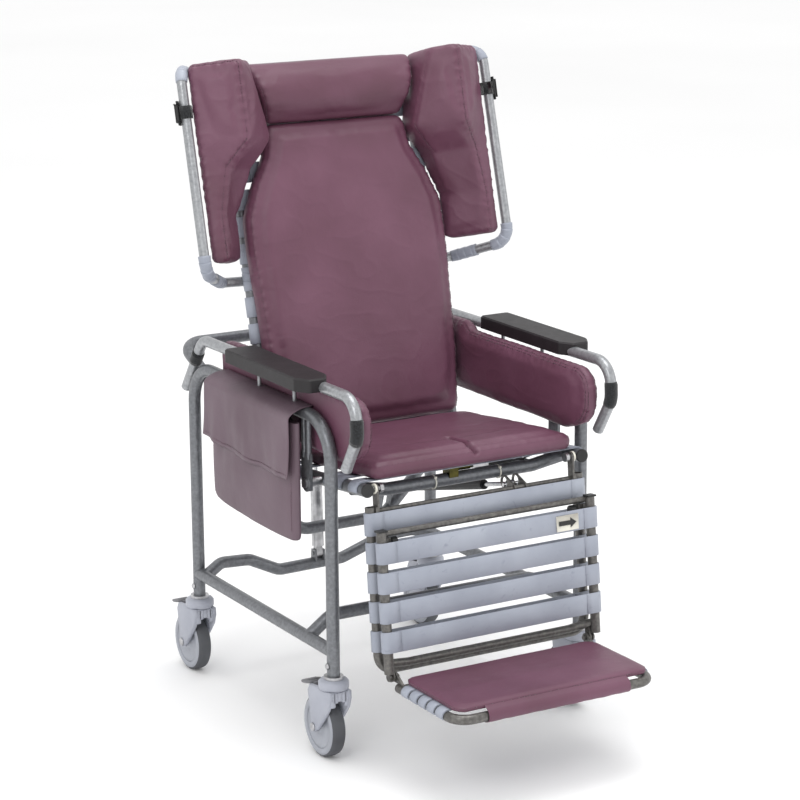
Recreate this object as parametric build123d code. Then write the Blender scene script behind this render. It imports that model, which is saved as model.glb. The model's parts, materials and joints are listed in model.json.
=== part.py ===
"""Tilt-and-recline patient chair: welded tube base on four braked casters, a tilting seat
frame, a reclining back with two head wings, a lifting legrest with a sliding calf frame,
and a flip-up footboard. Millimetres, +X to the sitter's left, -Y to the front, +Z up."""
from math import atan2, cos, degrees, hypot, radians, sin
import os

from build123d import *

# ---------------------------------------------------------------- driving dimensions
SIDE_X = 283.7            # side frame centre planes
POST_Y = 292.5            # caster stems, front and rear of the middle plane
POST_FOOT_Z = 175.0       # lower ends of the posts
TOP_TUBE_Z = 674.0        # side frame top tube centre line
LOW_RAIL_Z = 222.0        # side frame bottom rail centre line
FRAME_BEND = 80.0
TUBE_D = 25.4             # main tubing, one inch
TUBE_WALL = 2.0
ARM_D = 22.2
ROW_ORIGIN_Y = -103.6     # bounding box centre, measured from the middle plane

TILT_PIVOT = (-197.0, 535.7)       # (y, z) pairs in the middle-plane frame
RECLINE_PIVOT = (79.0, 507.0)
LEG_PIVOT = (-350.0, 552.0)
FOOT_PIVOT = (-415.3, 197.9)
BACK_LEAN = radians(14.0)
SEAT_DROP = radians(5.87)
LEG_LEAN = radians(5.64)

RAIL_X = 242.0            # seat rails and push handle arms
BACK_X = 213.0            # back side tubes
LEG_X = 235.0             # legrest and calf frame tubes
LEG_D = 19.0
STRAP_T = 2.2
STRAP_W = 41.0

WHEEL_R = 62.5
WHEEL_W = 32.0
TRAIL = 38.0
SIDES = (("left", 1), ("right", -1))
CORNERS = (("fl", 1, -1), ("fr", -1, -1), ("rl", 1, 1), ("rr", -1, 1))

TILT_FOOT_PIN = (290.0, 222.0)
TILT_TOP_PIN = (300.0, 540.0)
RECLINE_FRONT_PIN = (-272.0, 533.0)
RECLINE_REAR_PIN = (90.0, 445.0)
LEG_REAR_PIN = (164.0, 385.0)
LEG_FRONT_PIN = (-320.0, 507.0)
RECLINE_SPRING_X = 150.0
LEG_SPRING_X = 100.0
PIN_R = 4.0


def save(shape, name):
    """Write one sub-part, with the row's origin under the middle of the bounding box."""
    export_step(Pos(0, -ROW_ORIGIN_Y, 0) * shape, f"parts/{name}.step")


def group(items):
    """Separate solids kept as one sub-part."""
    return Compound(list(items))


# ---------------------------------------------------------------- shape helpers
def rod(start, end, r):
    """Solid round bar between two points."""
    path = Line(start, end)
    return sweep(Plane(origin=path @ 0, z_dir=path % 0) * Circle(r), path=path)


def pipe(points, radii, d, wall=TUBE_WALL):
    """Bent hollow tube along a filleted polyline."""
    path = FilletPolyline(*points, radius=radii) if radii else Polyline(*points)
    plane = Plane(origin=path @ 0, z_dir=path % 0)
    outer = sweep(plane * Circle(d / 2), path=path)
    if not wall:
        return outer
    return outer - sweep(plane * Circle(d / 2 - wall), path=path)


def x_bar(y, z, x0, x1, r):
    """Round bar along X between two x planes."""
    return rod((x0, y, z), (x1, y, z), r)


def x_plate(outline, x0, x1):
    """Flat plate from a closed (y, z) outline, between two x planes."""
    face = make_face(Polyline(*[(x0, y, z) for y, z in outline], close=True))
    return extrude(face, amount=abs(x1 - x0), dir=(1 if x1 > x0 else -1, 0, 0))


def link_plate(p, q, r_p, r_q, x0, x1):
    """Plate between two pins, rounded about both of them."""
    a = atan2(q[1] - p[1], q[0] - p[0])
    ny, nz = -sin(a), cos(a)
    web = [(p[0] + ny * r_p, p[1] + nz * r_p), (q[0] + ny * r_q, q[1] + nz * r_q),
           (q[0] - ny * r_q, q[1] - nz * r_q), (p[0] - ny * r_p, p[1] - nz * r_p)]
    return x_plate(web, x0, x1) + x_bar(*p, x0, x1, r_p) + x_bar(*q, x0, x1, r_q)


def soft_box(size, centre, fillet_r):
    """Closed plain body of a cushion, with rounded edges."""
    body = Box(*size)
    return Pos(*centre) * fillet(body.edges(), fillet_r)


def band(origin, z_dir, half_span, r, width, t=STRAP_T, hook=0.45):
    """Vinyl strap across two parallel tubes and hooked round the outside of both."""
    gap = 0.15
    plane = Plane(origin=origin, x_dir=(1, 0, 0), z_dir=z_dir)
    outer = SlotCenterToCenter(2 * half_span, 2 * (r + gap + t))
    inner = SlotCenterToCenter(2 * half_span, 2 * (r + gap))
    rear = Pos(0, -2 * r) * Rectangle(2 * half_span - 2 * r * hook, 4 * r)
    section = outer - inner - rear
    return extrude(plane * section, amount=width / 2, both=True)


# ---------------------------------------------------------------- base
def frame_path(sx):
    x = sx * SIDE_X
    return [(x, -POST_Y, POST_FOOT_Z), (x, -POST_Y, TOP_TUBE_Z),
            (x, POST_Y, TOP_TUBE_Z), (x, POST_Y, POST_FOOT_Z)]


def tilt_bracket(sx):
    """Two bright rods below the top tube and the plate that carries the tilt pivot."""
    y, z = TILT_PIVOT
    x = sx * SIDE_X
    bracket = Pos(x, y, z + 24) * Box(6, 34, 72) + x_bar(y, z, x - 3, x + 3, 17)
    for dy in (-9.5, 9.5):
        bracket += rod((x, y + dy, z + 50), (x, y + dy, TOP_TUBE_Z - TUBE_D / 2 + 1.5), 5.5)
    return bracket - x_bar(y, z, x - 5, x + 5, 6.05)


def side_frame(sx):
    """Bent hoop, bottom rail, tilt bracket and the pin ends of the caster sockets."""
    x = sx * SIDE_X
    rail = pipe([(x, -POST_Y, LOW_RAIL_Z), (x, POST_Y, LOW_RAIL_Z)], None, TUBE_D)
    for s in (-1, 1):
        rail -= rod((x, s * POST_Y, LOW_RAIL_Z - 30), (x, s * POST_Y, LOW_RAIL_Z + 30), TUBE_D / 2)
    frame = pipe(frame_path(sx), FRAME_BEND, TUBE_D) + rail + tilt_bracket(sx)
    for s in (-1, 1):
        frame += x_bar(s * POST_Y, POST_FOOT_Z + 20, x, x + sx * 15.2, 4.0)
        frame -= rod((x, s * POST_Y, POST_FOOT_Z - 5), (x, s * POST_Y, POST_FOOT_Z + 30),
                     TUBE_D / 2 - TUBE_WALL)
    return frame


def cross_tubes():
    """Rear tube with a dropped middle, front tube with a raised middle, ends on the low rails."""
    rear = [(-SIDE_X, POST_Y - 30, LOW_RAIL_Z), (-235, POST_Y - 6, LOW_RAIL_Z + 16),
            (-165, POST_Y, LOW_RAIL_Z + 10), (-95, POST_Y, LOW_RAIL_Z - 24),
            (60, POST_Y, LOW_RAIL_Z - 22), (165, POST_Y, LOW_RAIL_Z + 12),
            (235, POST_Y - 6, LOW_RAIL_Z + 16), (SIDE_X, POST_Y - 30, LOW_RAIL_Z)]
    front = [(-SIDE_X, -190, LOW_RAIL_Z), (-232, -190, LOW_RAIL_Z + 37),
             (232, -190, LOW_RAIL_Z + 37), (SIDE_X, -190, LOW_RAIL_Z)]
    tubes = []
    for points, radii in ((rear, 40), (front, 45)):
        tube = pipe(points, radii, TUBE_D)
        for sx in (-1, 1):
            x = sx * SIDE_X
            tube -= rod((x, -POST_Y, LOW_RAIL_Z), (x, POST_Y, LOW_RAIL_Z), TUBE_D / 2 + 0.02)
            tube -= pipe(frame_path(sx), FRAME_BEND, TUBE_D + 0.04, 0)
        tubes.append(max(tube.solids(), key=lambda s: s.volume))
    y, z = TILT_FOOT_PIN
    ears = group([x_plate([(y - 11, z - 16), (y + 11, z - 16), (y + 9, z + 8), (y - 9, z + 8)],
                          x, x + 4) for x in (-12, 8)])
    ears -= tubes[0] + rod((-30, POST_Y, LOW_RAIL_Z - 23.2), (30, POST_Y, LOW_RAIL_Z - 23.2), 12.6)
    pin = x_bar(y, z, -14, 14, PIN_R)
    return group(tubes + [s for s in (ears + pin).solids()])


def caster_stem(sx, sy):
    """Socket plug in the post, flange, swivel pin, and the cross screw through the post."""
    x, y = sx * SIDE_X, sy * POST_Y
    plug = rod((x, y, POST_FOOT_Z), (x, y, POST_FOOT_Z + 30), TUBE_D / 2 - TUBE_WALL - 0.05)
    flange = rod((x, y, POST_FOOT_Z - 6), (x, y, POST_FOOT_Z - 0.02), 19)
    return plug + flange + rod((x, y, POST_FOOT_Z - 24), (x, y, POST_FOOT_Z), 6)


def arm_path(sx):
    x = sx * SIDE_X
    return [(x, 329, 617), (x, 245, 733), (x, -392, 740), (x, -396, 668), (x, -352, 598)]


ARM_BENDS = [46, 46, 40]
ROD_YS = (-4.0, -151.0)


def arm_tube_z(y):
    """Height of the arm loop's top run at a depth."""
    return 733 + (245 - y) / (245 + 392) * 7


def arm_loop(sx):
    tube = pipe(arm_path(sx), ARM_BENDS, ARM_D)
    for y in ROD_YS:
        x = sx * SIDE_X
        leg = rod((x, y, TOP_TUBE_Z + 10), (x, y, arm_tube_z(y) - 9.5), 4.0)
        tube += leg - rod((x, y - 9, TOP_TUBE_Z), (x, y + 9, TOP_TUBE_Z), TUBE_D / 2 + 0.02)
    return tube


PAD_TOP_Z = 757.0


def arm_pad(sx):
    """Moulded pad with a rounded front, a dished top and a groove over the arm tube."""
    rear, front, inner, outer = 55.0, -270.0, 262.0, 332.0
    plan = make_face(Polyline((inner, rear), (outer, rear), (outer, front + 30),
                              (outer - 18, front), (inner + 18, front), (inner, front + 30),
                              close=True))
    pad = extrude(Pos(0, 0, PAD_TOP_Z - 26) * plan, amount=26)
    pad = fillet(pad.edges().filter_by(Axis.Z), 9)
    pad = chamfer(pad.faces().sort_by(Axis.Z)[-1].edges(), 3)
    pad -= pipe(arm_path(1), ARM_BENDS, ARM_D + 0.1, 0)
    pad = max(pad.solids(), key=lambda s: s.volume)
    return pad if sx > 0 else mirror(pad, about=Plane.YZ)


def arm_straps():
    """Hook-and-loop straps that hold the side bolsters to the arm loops."""
    straps = []
    for _, sx in SIDES:
        x = sx * SIDE_X
        for y, z, dy, dz in ((-395.5, 684.0, -0.055, -0.998), (274.0, 693.0, 0.586, -0.810)):
            plane = Plane(origin=(x, y, z), x_dir=(1, 0, 0), z_dir=(0, dy, dz))
            ring = Circle(ARM_D / 2 + 2.4) - Circle(ARM_D / 2 + 0.1)
            straps.append(extrude(plane * ring, amount=17 if y > 0 else 7, both=True))
    return group(straps)


def side_bolster(sx):
    """Closed body of a side bolster, its lower front corner cut back over the seat rail."""
    outline = [(198, 592), (198, 728), (-330, 728), (-362, 712), (-374, 684), (-374, 648),
               (-356, 618), (-330, 606), (-290, 592)]
    body = x_plate(outline, sx * 236.2, sx * 269.8)
    return fillet(body.edges(), 9)


POUCH_BACK_X = 298.0
POUCH_DEPTH = 27.0
POUCH_Y = (-196.0, 158.0)
POUCH_Z = (420.0, 661.0)
POUCH_WALL = 2.5


def side_pouch():
    """Open-topped bag on the outside of the right side frame."""
    mid_y, size_y = sum(POUCH_Y) / 2, POUCH_Y[1] - POUCH_Y[0]
    mid_z, size_z = sum(POUCH_Z) / 2, POUCH_Z[1] - POUCH_Z[0]
    mid_x = -(POUCH_BACK_X + POUCH_DEPTH / 2)
    bag = Pos(mid_x, mid_y, mid_z) * Box(POUCH_DEPTH, size_y, size_z)
    hollow = Box(POUCH_DEPTH - 2 * POUCH_WALL, size_y - 2 * POUCH_WALL, size_z)
    return bag - Pos(mid_x, mid_y, mid_z + POUCH_WALL) * hollow


def pouch_flap():
    """Cover sheet from the top tube down over the pouch's mouth."""
    x_top, x_out = -POUCH_BACK_X + 25, -(POUCH_BACK_X + POUCH_DEPTH + 0.6)
    z_top = TOP_TUBE_Z + TUBE_D / 2 + 0.6
    y0, y1 = POUCH_Y[0] - 8, POUCH_Y[1] - 2
    profile = [(x_top, z_top), (x_top - 19, z_top), (x_out, z_top - 15.4), (x_out, 566),
               (x_out - 2, 566), (x_out - 2, z_top - 14), (x_top - 19.4, z_top + 2),
               (x_top, z_top + 2)]
    face = make_face(Polyline(*[(x, y0, z) for x, z in profile], close=True))
    flap = extrude(face, amount=y1 - y0, dir=(0, 1, 0))
    for y in ROD_YS:
        flap -= rod((-SIDE_X, y, TOP_TUBE_Z), (-SIDE_X, y, 730), 5.0)
    return flap


# ---------------------------------------------------------------- seat frame
def rail_z(y):
    """Height of a seat rail's centre line at a depth, ahead of the handle's bend."""
    return LEG_PIVOT[1] - (y + 355) * sin(SEAT_DROP) / cos(SEAT_DROP)


RAIL_FRONT_Y = -357.0
HANDLE_CORNER = (435.0, 684.0)
HANDLE_BENDS = [60, 60, 45, 45, 60, 60]


def handle_path():
    side = [(RAIL_FRONT_Y, rail_z(RAIL_FRONT_Y)), (196, rail_z(196)), (305, 632), HANDLE_CORNER]
    return [(-RAIL_X, y, z) for y, z in side] + [(RAIL_X, y, z) for y, z in reversed(side)]


def rail_cut():
    """Solid outline of the rails, to cope the ends of the tubes that meet them."""
    return pipe(handle_path(), HANDLE_BENDS, TUBE_D + 0.04, 0)


def seat_frame_tube():
    """Both seat rails and the push handle, bent from one tube."""
    tube = pipe(handle_path(), HANDLE_BENDS, TUBE_D)
    for sx in (-1, 1):
        tube -= x_bar(*TILT_PIVOT, sx * 225, sx * 262, 6.02)
        tube -= x_bar(*RECLINE_PIVOT, sx * 225, sx * 262, 5.02)
        tube -= x_bar(*LEG_PIVOT, sx * 225, sx * 236, 5.02)
    return tube


FRONT_TUBE = (-296.0, 530.0)      # middle of the front cross tube


def seat_front_tube():
    """Cross tube under the front of the seat, dropped in its middle, with two spring ears."""
    y, z = FRONT_TUBE
    z_end = rail_z(y) - 4
    path = [(-RAIL_X, y, z_end), (-165, y, z), (165, y, z), (RAIL_X, y, z_end)]
    tube = max((pipe(path, 60, TUBE_D) - rail_cut()).solids(), key=lambda s: s.volume)
    bore = rod((-150, y, z), (RECLINE_SPRING_X + 14, y, z), TUBE_D / 2 - 1)
    pin_y, pin_z = RECLINE_FRONT_PIN
    for x in (RECLINE_SPRING_X - 12, RECLINE_SPRING_X + 8):
        ear = x_plate([(y, z - 11), (y, z + 11), (pin_y, pin_z + 8), (pin_y + 8, pin_z),
                       (pin_y, pin_z - 8)], x, x + 4)
        tube += ear - bore
    return tube + x_bar(pin_y, pin_z, RECLINE_SPRING_X - 14, RECLINE_SPRING_X + 14, PIN_R)


BAR_Y = 160.0             # rear cross bar of the seat frame
HANGER_Y = 180.0
HANGER_Z = 317.0


def seat_hanger():
    """Trapezoid tube below the rails, the rear cross bar, and both spring brackets."""
    path = [(-RAIL_X, HANGER_Y, rail_z(HANGER_Y)), (-RAIL_X + 6, HANGER_Y, 452),
            (-98, HANGER_Y, HANGER_Z), (98, HANGER_Y, HANGER_Z),
            (RAIL_X - 6, HANGER_Y, 452), (RAIL_X, HANGER_Y, rail_z(HANGER_Y))]
    bends = [40, 45, 45, 40]
    ends = [(-RAIL_X, BAR_Y, rail_z(BAR_Y)), (RAIL_X, BAR_Y, rail_z(BAR_Y))]
    hanger = pipe(path, bends, TUBE_D) - rail_cut()
    hanger -= rod(*ends, TUBE_D / 2 + 0.02)
    hanger = max(hanger.solids(), key=lambda s: s.volume)
    cross = max((pipe(ends, None, TUBE_D) - rail_cut()).solids(), key=lambda s: s.volume)
    y, z = TILT_TOP_PIN
    eye = (y - 2.98, z + 0.79)
    for x in (-15, 11):
        arm = link_plate((BAR_Y, rail_z(BAR_Y)), eye, 12, 13, x, x + 4)
        arm -= rod(*ends, TUBE_D / 2 - 1)
        cross += arm - x_bar(*eye, x - 1, x + 5, PIN_R + 3.7)
    y, z = LEG_REAR_PIN
    for x in (LEG_SPRING_X - 12, LEG_SPRING_X + 8):
        ear = x_plate([(HANGER_Y + 4, HANGER_Z + 1), (HANGER_Y - 4, HANGER_Z + 9), (y - 8, z),
                       (y, z + 9), (y + 8, z), (HANGER_Y + 10, HANGER_Z + 5)], x, x + 4)
        hanger += ear - pipe(path, bends, TUBE_D - 2, 0)
    hanger += x_bar(y, z, LEG_SPRING_X - 14, LEG_SPRING_X + 14, PIN_R)
    return group(hanger.solids() + cross.solids())


def rail_end_caps():
    caps = []
    d = (0, -cos(SEAT_DROP), sin(SEAT_DROP))
    for _, sx in SIDES:
        plane = Plane(origin=(sx * RAIL_X, RAIL_FRONT_Y, rail_z(RAIL_FRONT_Y)), z_dir=d)
        head = extrude(plane * Circle(TUBE_D / 2 + 0.6), amount=4)
        plug = extrude(plane * Circle(TUBE_D / 2 - TUBE_WALL - 0.05), amount=-18)
        caps.append(fillet(head.faces().sort_by(Axis.Y)[0].edges(), 2) + plug)
    return group(caps)


SEAT_STRAP_YS = (-326.0, -266.0, -231.0, -110.0, -58.0, -6.0)


def seat_straps():
    d = (0, -cos(SEAT_DROP), sin(SEAT_DROP))
    return group([band((0, y, rail_z(y)), d, RAIL_X, TUBE_D / 2, 32, hook=0.9)
                  for y in SEAT_STRAP_YS])


def seat_cushion():
    body = soft_box((452.0, 396.0, 36.0), (0, 0, 0), 15)
    centre_y = -158.0
    centre_z = rail_z(centre_y) + TUBE_D / 2 + STRAP_T + 0.5 + 18.0
    return Pos(0, centre_y, centre_z) * Rot(-degrees(SEAT_DROP), 0, 0) * body


def pivot_bolts():
    """Bolts of the tilt, recline and legrest pivots."""
    bolts = []
    for _, sx in SIDES:
        y, z = TILT_PIVOT
        bolts.append(x_bar(y, z, sx * 233, sx * 290, 6) + x_bar(y, z, sx * 287.1, sx * 291, 10)
                     + x_bar(y, z, sx * 255, sx * 280.3, 9.5))
        y, z = RECLINE_PIVOT
        bolts.append(x_bar(y, z, sx * 196, sx * 257, 5) + x_bar(y, z, sx * 254.8, sx * 259, 8.5)
                     + x_bar(y, z, sx * 193, sx * 198, 8.5))
        y, z = LEG_PIVOT
        bolts.append(x_bar(y, z, sx * 209, sx * 231.2, 5) + x_bar(y, z, sx * 206, sx * 213, 9))
    return group(bolts)


VALVE = (-290.0, 548.5)


def release_valve():
    """Clamp block on the front cross tube and the brass valve head of the tilt lock."""
    y, z = FRONT_TUBE
    block = Pos(-22, y, z + 16) * Box(20, 26, 22)
    block -= rod((-60, y, z), (60, y, z), TUBE_D / 2 + 0.02)
    head = x_bar(*VALVE, -12, 24, 6.5) - x_bar(*VALVE, 16, 30, 3.05)
    head -= rod((-60, y, z), (60, y, z), TUBE_D / 2 + 0.02)
    return group([max(block.solids(), key=lambda s: s.volume), head])


def release_lever():
    """Small cranked lever on the valve head."""
    y, z = VALVE
    hub = x_bar(y, z, 24.3, 30, 5) + x_bar(y, z, 17, 26, 3.0)
    crank = Pos(27.5, y - 6, z + 1) * Box(5, 14, 6)
    arm = Pos(43, y - 12, z + 1) * Box(34, 3, 6)
    return hub + crank + arm


def release_cable():
    """Sheathed cable clipped along the front cross tube, up to the left rail."""
    points = [(63, -300, 547.5), (88, -298, 546), (116, -296, 545.6), (144, -294, 546),
              (172, -289, 549), (198, -284, 552.5)]
    path = FilletPolyline(*points, radius=60)
    return sweep(Plane(origin=path @ 0, z_dir=path % 0) * Circle(1.6), path=path)


# ---------------------------------------------------------------- gas springs
def spring_cylinder(foot, head, x, r, length, fork):
    """Pressure tube with a lug at its foot pin; fork is the half gap for the pin's ears."""
    ux, uz = (head[0] - foot[0]), (head[1] - foot[1])
    n = hypot(ux, uz)
    ux, uz = ux / n, uz / n
    start = (x, foot[0] + ux * 16, foot[1] + uz * 16)
    stop = (x, foot[0] + ux * length, foot[1] + uz * length)
    lug = link_plate(foot, (start[1], start[2]), 9, 6, x - fork, x + fork)
    body = rod(start, stop, r) + lug
    body -= rod((x, foot[0] + ux * 24, foot[1] + uz * 24), (x, stop[1] + ux, stop[2] + uz), 4.55)
    return body - x_bar(*foot, x - 20, x + 20, PIN_R + 0.05)


def spring_rod(foot, head, x, inset, half_pin):
    """Piston rod with an eye and a cross pin at the open end."""
    ux, uz = (head[0] - foot[0]), (head[1] - foot[1])
    n = hypot(ux, uz)
    ux, uz = ux / n, uz / n
    start = (x, foot[0] + ux * inset, foot[1] + uz * inset)
    shaft = rod(start, (x, head[0] - ux * 6, head[1] - uz * 6), 4.5)
    return shaft + x_bar(*head, x - 7, x + 7, 8) + x_bar(*head, x - half_pin, x + half_pin, PIN_R)


# ---------------------------------------------------------------- back frame
def back_point(x, v, n=0.0):
    """Point in the back: v up the tubes from the pivot, n forward of their plane."""
    y, z = RECLINE_PIVOT
    return (x, y + v * sin(BACK_LEAN) - n * cos(BACK_LEAN), z + v * cos(BACK_LEAN) + n * sin(BACK_LEAN))


BACK_TOP = 788.0
BACK_BEND = 55.0


def back_path():
    return [back_point(-BACK_X, -16), back_point(-BACK_X, BACK_TOP),
            back_point(BACK_X, BACK_TOP), back_point(BACK_X, -16)]


def back_hoop():
    """Back tube with its top bends, lower cross bar, and the recline lever."""
    hoop = pipe(back_path(), BACK_BEND, TUBE_D)
    for sx in (-1, 1):
        hoop -= x_bar(*RECLINE_PIVOT, sx * 195, sx * 232, 5.06)
    low = back_point(0, 42)[1:]
    bar = pipe([(-BACK_X, *low), (BACK_X, *low)], None, 19)
    bar -= pipe(back_path(), BACK_BEND, TUBE_D + 0.04, 0)
    bar = max(bar.solids(), key=lambda s: s.volume)
    eye = (RECLINE_REAR_PIN[0] + 0.34, RECLINE_REAR_PIN[1] + 1.96)
    for x in (RECLINE_SPRING_X - 15, RECLINE_SPRING_X + 11):
        lever = link_plate(low, eye, 11, 12, x, x + 4)
        lever -= x_bar(*low, x - 1, x + 5, 8.5) + x_bar(*eye, x - 1, x + 5, PIN_R + 2.6)
        bar += lever
    return group(hoop.solids() + bar.solids())


BACK_STRAP_VS = [150.0 + 54.0 * i for i in range(11) if i != 4]


def back_straps():
    d = (0, -sin(BACK_LEAN), -cos(BACK_LEAN))
    return group([band(back_point(0, v), d, BACK_X, TUBE_D / 2, STRAP_W) for v in BACK_STRAP_VS])


WING_FLARE = radians(37.0)
WING_IN = 164.0           # inner front edge of a wing
WING_ROOT_N = 36.0


def wing_point(sx, a, b, v):
    """Point of a wing: a outward along its inner face, b outward through its thickness."""
    x = WING_IN + a * sin(WING_FLARE) + b * cos(WING_FLARE)
    n = WING_ROOT_N + a * cos(WING_FLARE) - b * sin(WING_FLARE)
    return back_point(sx * x, v, n)


WING_DEPTH = 150.0
WING_THICK = 104.0
WING_FOOT_T = 22.0
WING_V = (408.0, 500.0, 642.0, 801.0)
WING_TUBE_B = WING_THICK + 11.5   # wing tube's centre, past the pad's outer face
REST_N = 16.5             # back face of the cushions, just in front of the straps


def wing_loop_path(sx):
    b = WING_TUBE_B
    return [back_point(sx * BACK_X, 366, -14), wing_point(sx, 26, b, 368),
            wing_point(sx, 158, b, 384), wing_point(sx, 152, b + 1, 788),
            wing_point(sx, 34, b + 1, 786), back_point(sx * 192, 762, -4)]


WING_BENDS = [24, 34, 30, 30]
WING_TUBE_D = 20.0


def wing_loop(sx):
    """Bent tube that holds a wing, with both ends on the back tube."""
    tube = pipe(wing_loop_path(sx), WING_BENDS, WING_TUBE_D)
    tube -= pipe(back_path(), BACK_BEND, TUBE_D + 0.04, 0)
    return max(tube.solids(), key=lambda s: s.volume)


def wing_pad(sx):
    """Closed body of a head wing: thick beside the head, sloping back to a thin foot."""
    v0, v1, v2, v3 = WING_V
    profile = [(WING_THICK, v0), (WING_THICK - WING_FOOT_T, v0), (WING_THICK - WING_FOOT_T, v1),
               (0, v2), (0, v3), (WING_THICK, v3)]
    near = make_face(Polyline(*[wing_point(sx, 0, b, v) for b, v in profile], close=True))
    tip = wing_point(sx, WING_DEPTH, 0, v0)
    base = wing_point(sx, 0, 0, v0)
    pad = extrude(near, amount=WING_DEPTH, dir=tuple(t - q for t, q in zip(tip, base)))
    behind = Pos(*back_point(0, 600, REST_N - 100)) * Rot(-degrees(BACK_LEAN), 0, 0)
    pad -= behind * Box(900, 200, 900)
    return fillet(pad.edges(), 6)


def tilted_box(size, v, n, fillet_r):
    """Soft body square to the back, centred at (v, n)."""
    body = soft_box(size, (0, 0, 0), fillet_r)
    return Pos(*back_point(0, v, n)) * Rot(-degrees(BACK_LEAN), 0, 0) * body


def head_pillow():
    return tilted_box((314.0, 75.5, 135.0), 735.5, REST_N + 37.75, 30)


CUSHION_T = 46.0


def back_cushion():
    """Back cushion, widest at the shoulders and narrowed between the head wings."""
    half = [(206, 45), (224, 300), (229, 490), (168, 605), (158, 664)]
    outline = half + [(-x, v) for x, v in reversed(half)]
    face = make_face(Polyline(*[back_point(x, v, REST_N) for x, v in outline], close=True))
    body = extrude(face, amount=CUSHION_T, dir=(0, -cos(BACK_LEAN), sin(BACK_LEAN)))
    return fillet(body.edges(), 15)


def wing_straps():
    """Webbing straps with side-release buckles, from each pad round its tube."""
    parts = []
    for _, sx in SIDES:
        path = wing_loop_path(sx)
        low, high = Vector(*path[2]), Vector(*path[3])
        d = (high - low).normalized()
        mid = low + d * 330
        plane = Plane(origin=mid, z_dir=d)
        ring = Circle(WING_TUBE_D / 2 + 2.3) - Circle(WING_TUBE_D / 2 + 0.1)
        parts.append(extrude(plane * ring, amount=12.5, both=True))
        out = (Vector(*wing_point(sx, 0, 1, 0)) - Vector(*wing_point(sx, 0, 0, 0))).normalized()
        side = Plane(origin=mid + out * (WING_TUBE_D / 2 + 7.4), x_dir=d, z_dir=out)
        parts.append(fillet(extrude(side * Rectangle(38, 24), amount=4.5, both=True).edges(), 2.5))
    return group(parts)


# ---------------------------------------------------------------- legrest
def leg_point(x, s, n=0.0):
    """Point of the legrest: s down its tubes from the pivot's level, n forward of them."""
    y, z = LEG_PIVOT
    return (x, y - s * sin(LEG_LEAN) - n * cos(LEG_LEAN), z - s * cos(LEG_LEAN) + n * sin(LEG_LEAN))


CALF_N = 39.0             # calf frame, forward of the legrest frame
LEG_DOWN = (0, -sin(LEG_LEAN), -cos(LEG_LEAN))


def legrest_frame():
    """U tube with hinge plates, the upper rod, and the legrest spring's lever."""
    points = [leg_point(-LEG_X, 34), leg_point(-LEG_X, 350), leg_point(LEG_X, 350), leg_point(LEG_X, 34)]
    frame = pipe(points, 30, LEG_D)
    y, z = LEG_PIVOT
    for _, sx in SIDES:
        x0, x1 = sx * 218.6, sx * 222.6
        top = leg_point(0, 34, -9)
        toe = leg_point(0, 34, 9)
        heel = leg_point(0, 62, -9)
        foot = leg_point(0, 62, 9)
        plate = x_plate([(y - 9, z), toe[1:], foot[1:], heel[1:], top[1:], (y + 9, z)], x0, x1)
        plate += x_bar(y, z, x0, x1, 9.5)
        plate += x_plate([toe[1:], foot[1:], heel[1:], top[1:]], x1, sx * (LEG_X - 8))
        plate -= x_bar(y, z, sx * 210, sx * 228, 5.05)
        plate -= rod(leg_point(sx * LEG_X, 20), leg_point(sx * LEG_X, 90), LEG_D / 2 - TUBE_WALL)
        frame += plate
    rod_yz = leg_point(0, 44, -3)[1:]
    frame += x_bar(*rod_yz, -220, 220, 5)
    eye = (LEG_FRONT_PIN[0] - 0.74, LEG_FRONT_PIN[1] + 5.87)
    for x in (LEG_SPRING_X - 15, LEG_SPRING_X + 11):
        lever = link_plate(rod_yz, eye, 8, 13.6, x, x + 4)
        frame += lever - x_bar(*eye, x - 1, x + 5, PIN_R + 6.5)
    return frame


def legrest_straps():
    """Five straps on the legrest frame; the lower four are passed by the calf frame."""
    straps = [band(leg_point(0, 66), LEG_DOWN, LEG_X, LEG_D / 2, 44)]
    for s in (121, 178, 235, 292):
        straps.append(band(leg_point(0, s), LEG_DOWN, LEG_X, LEG_D / 2, STRAP_W))
    return group(straps)


KNOB_PIN = leg_point(0, 100, 24)[1:]


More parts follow.
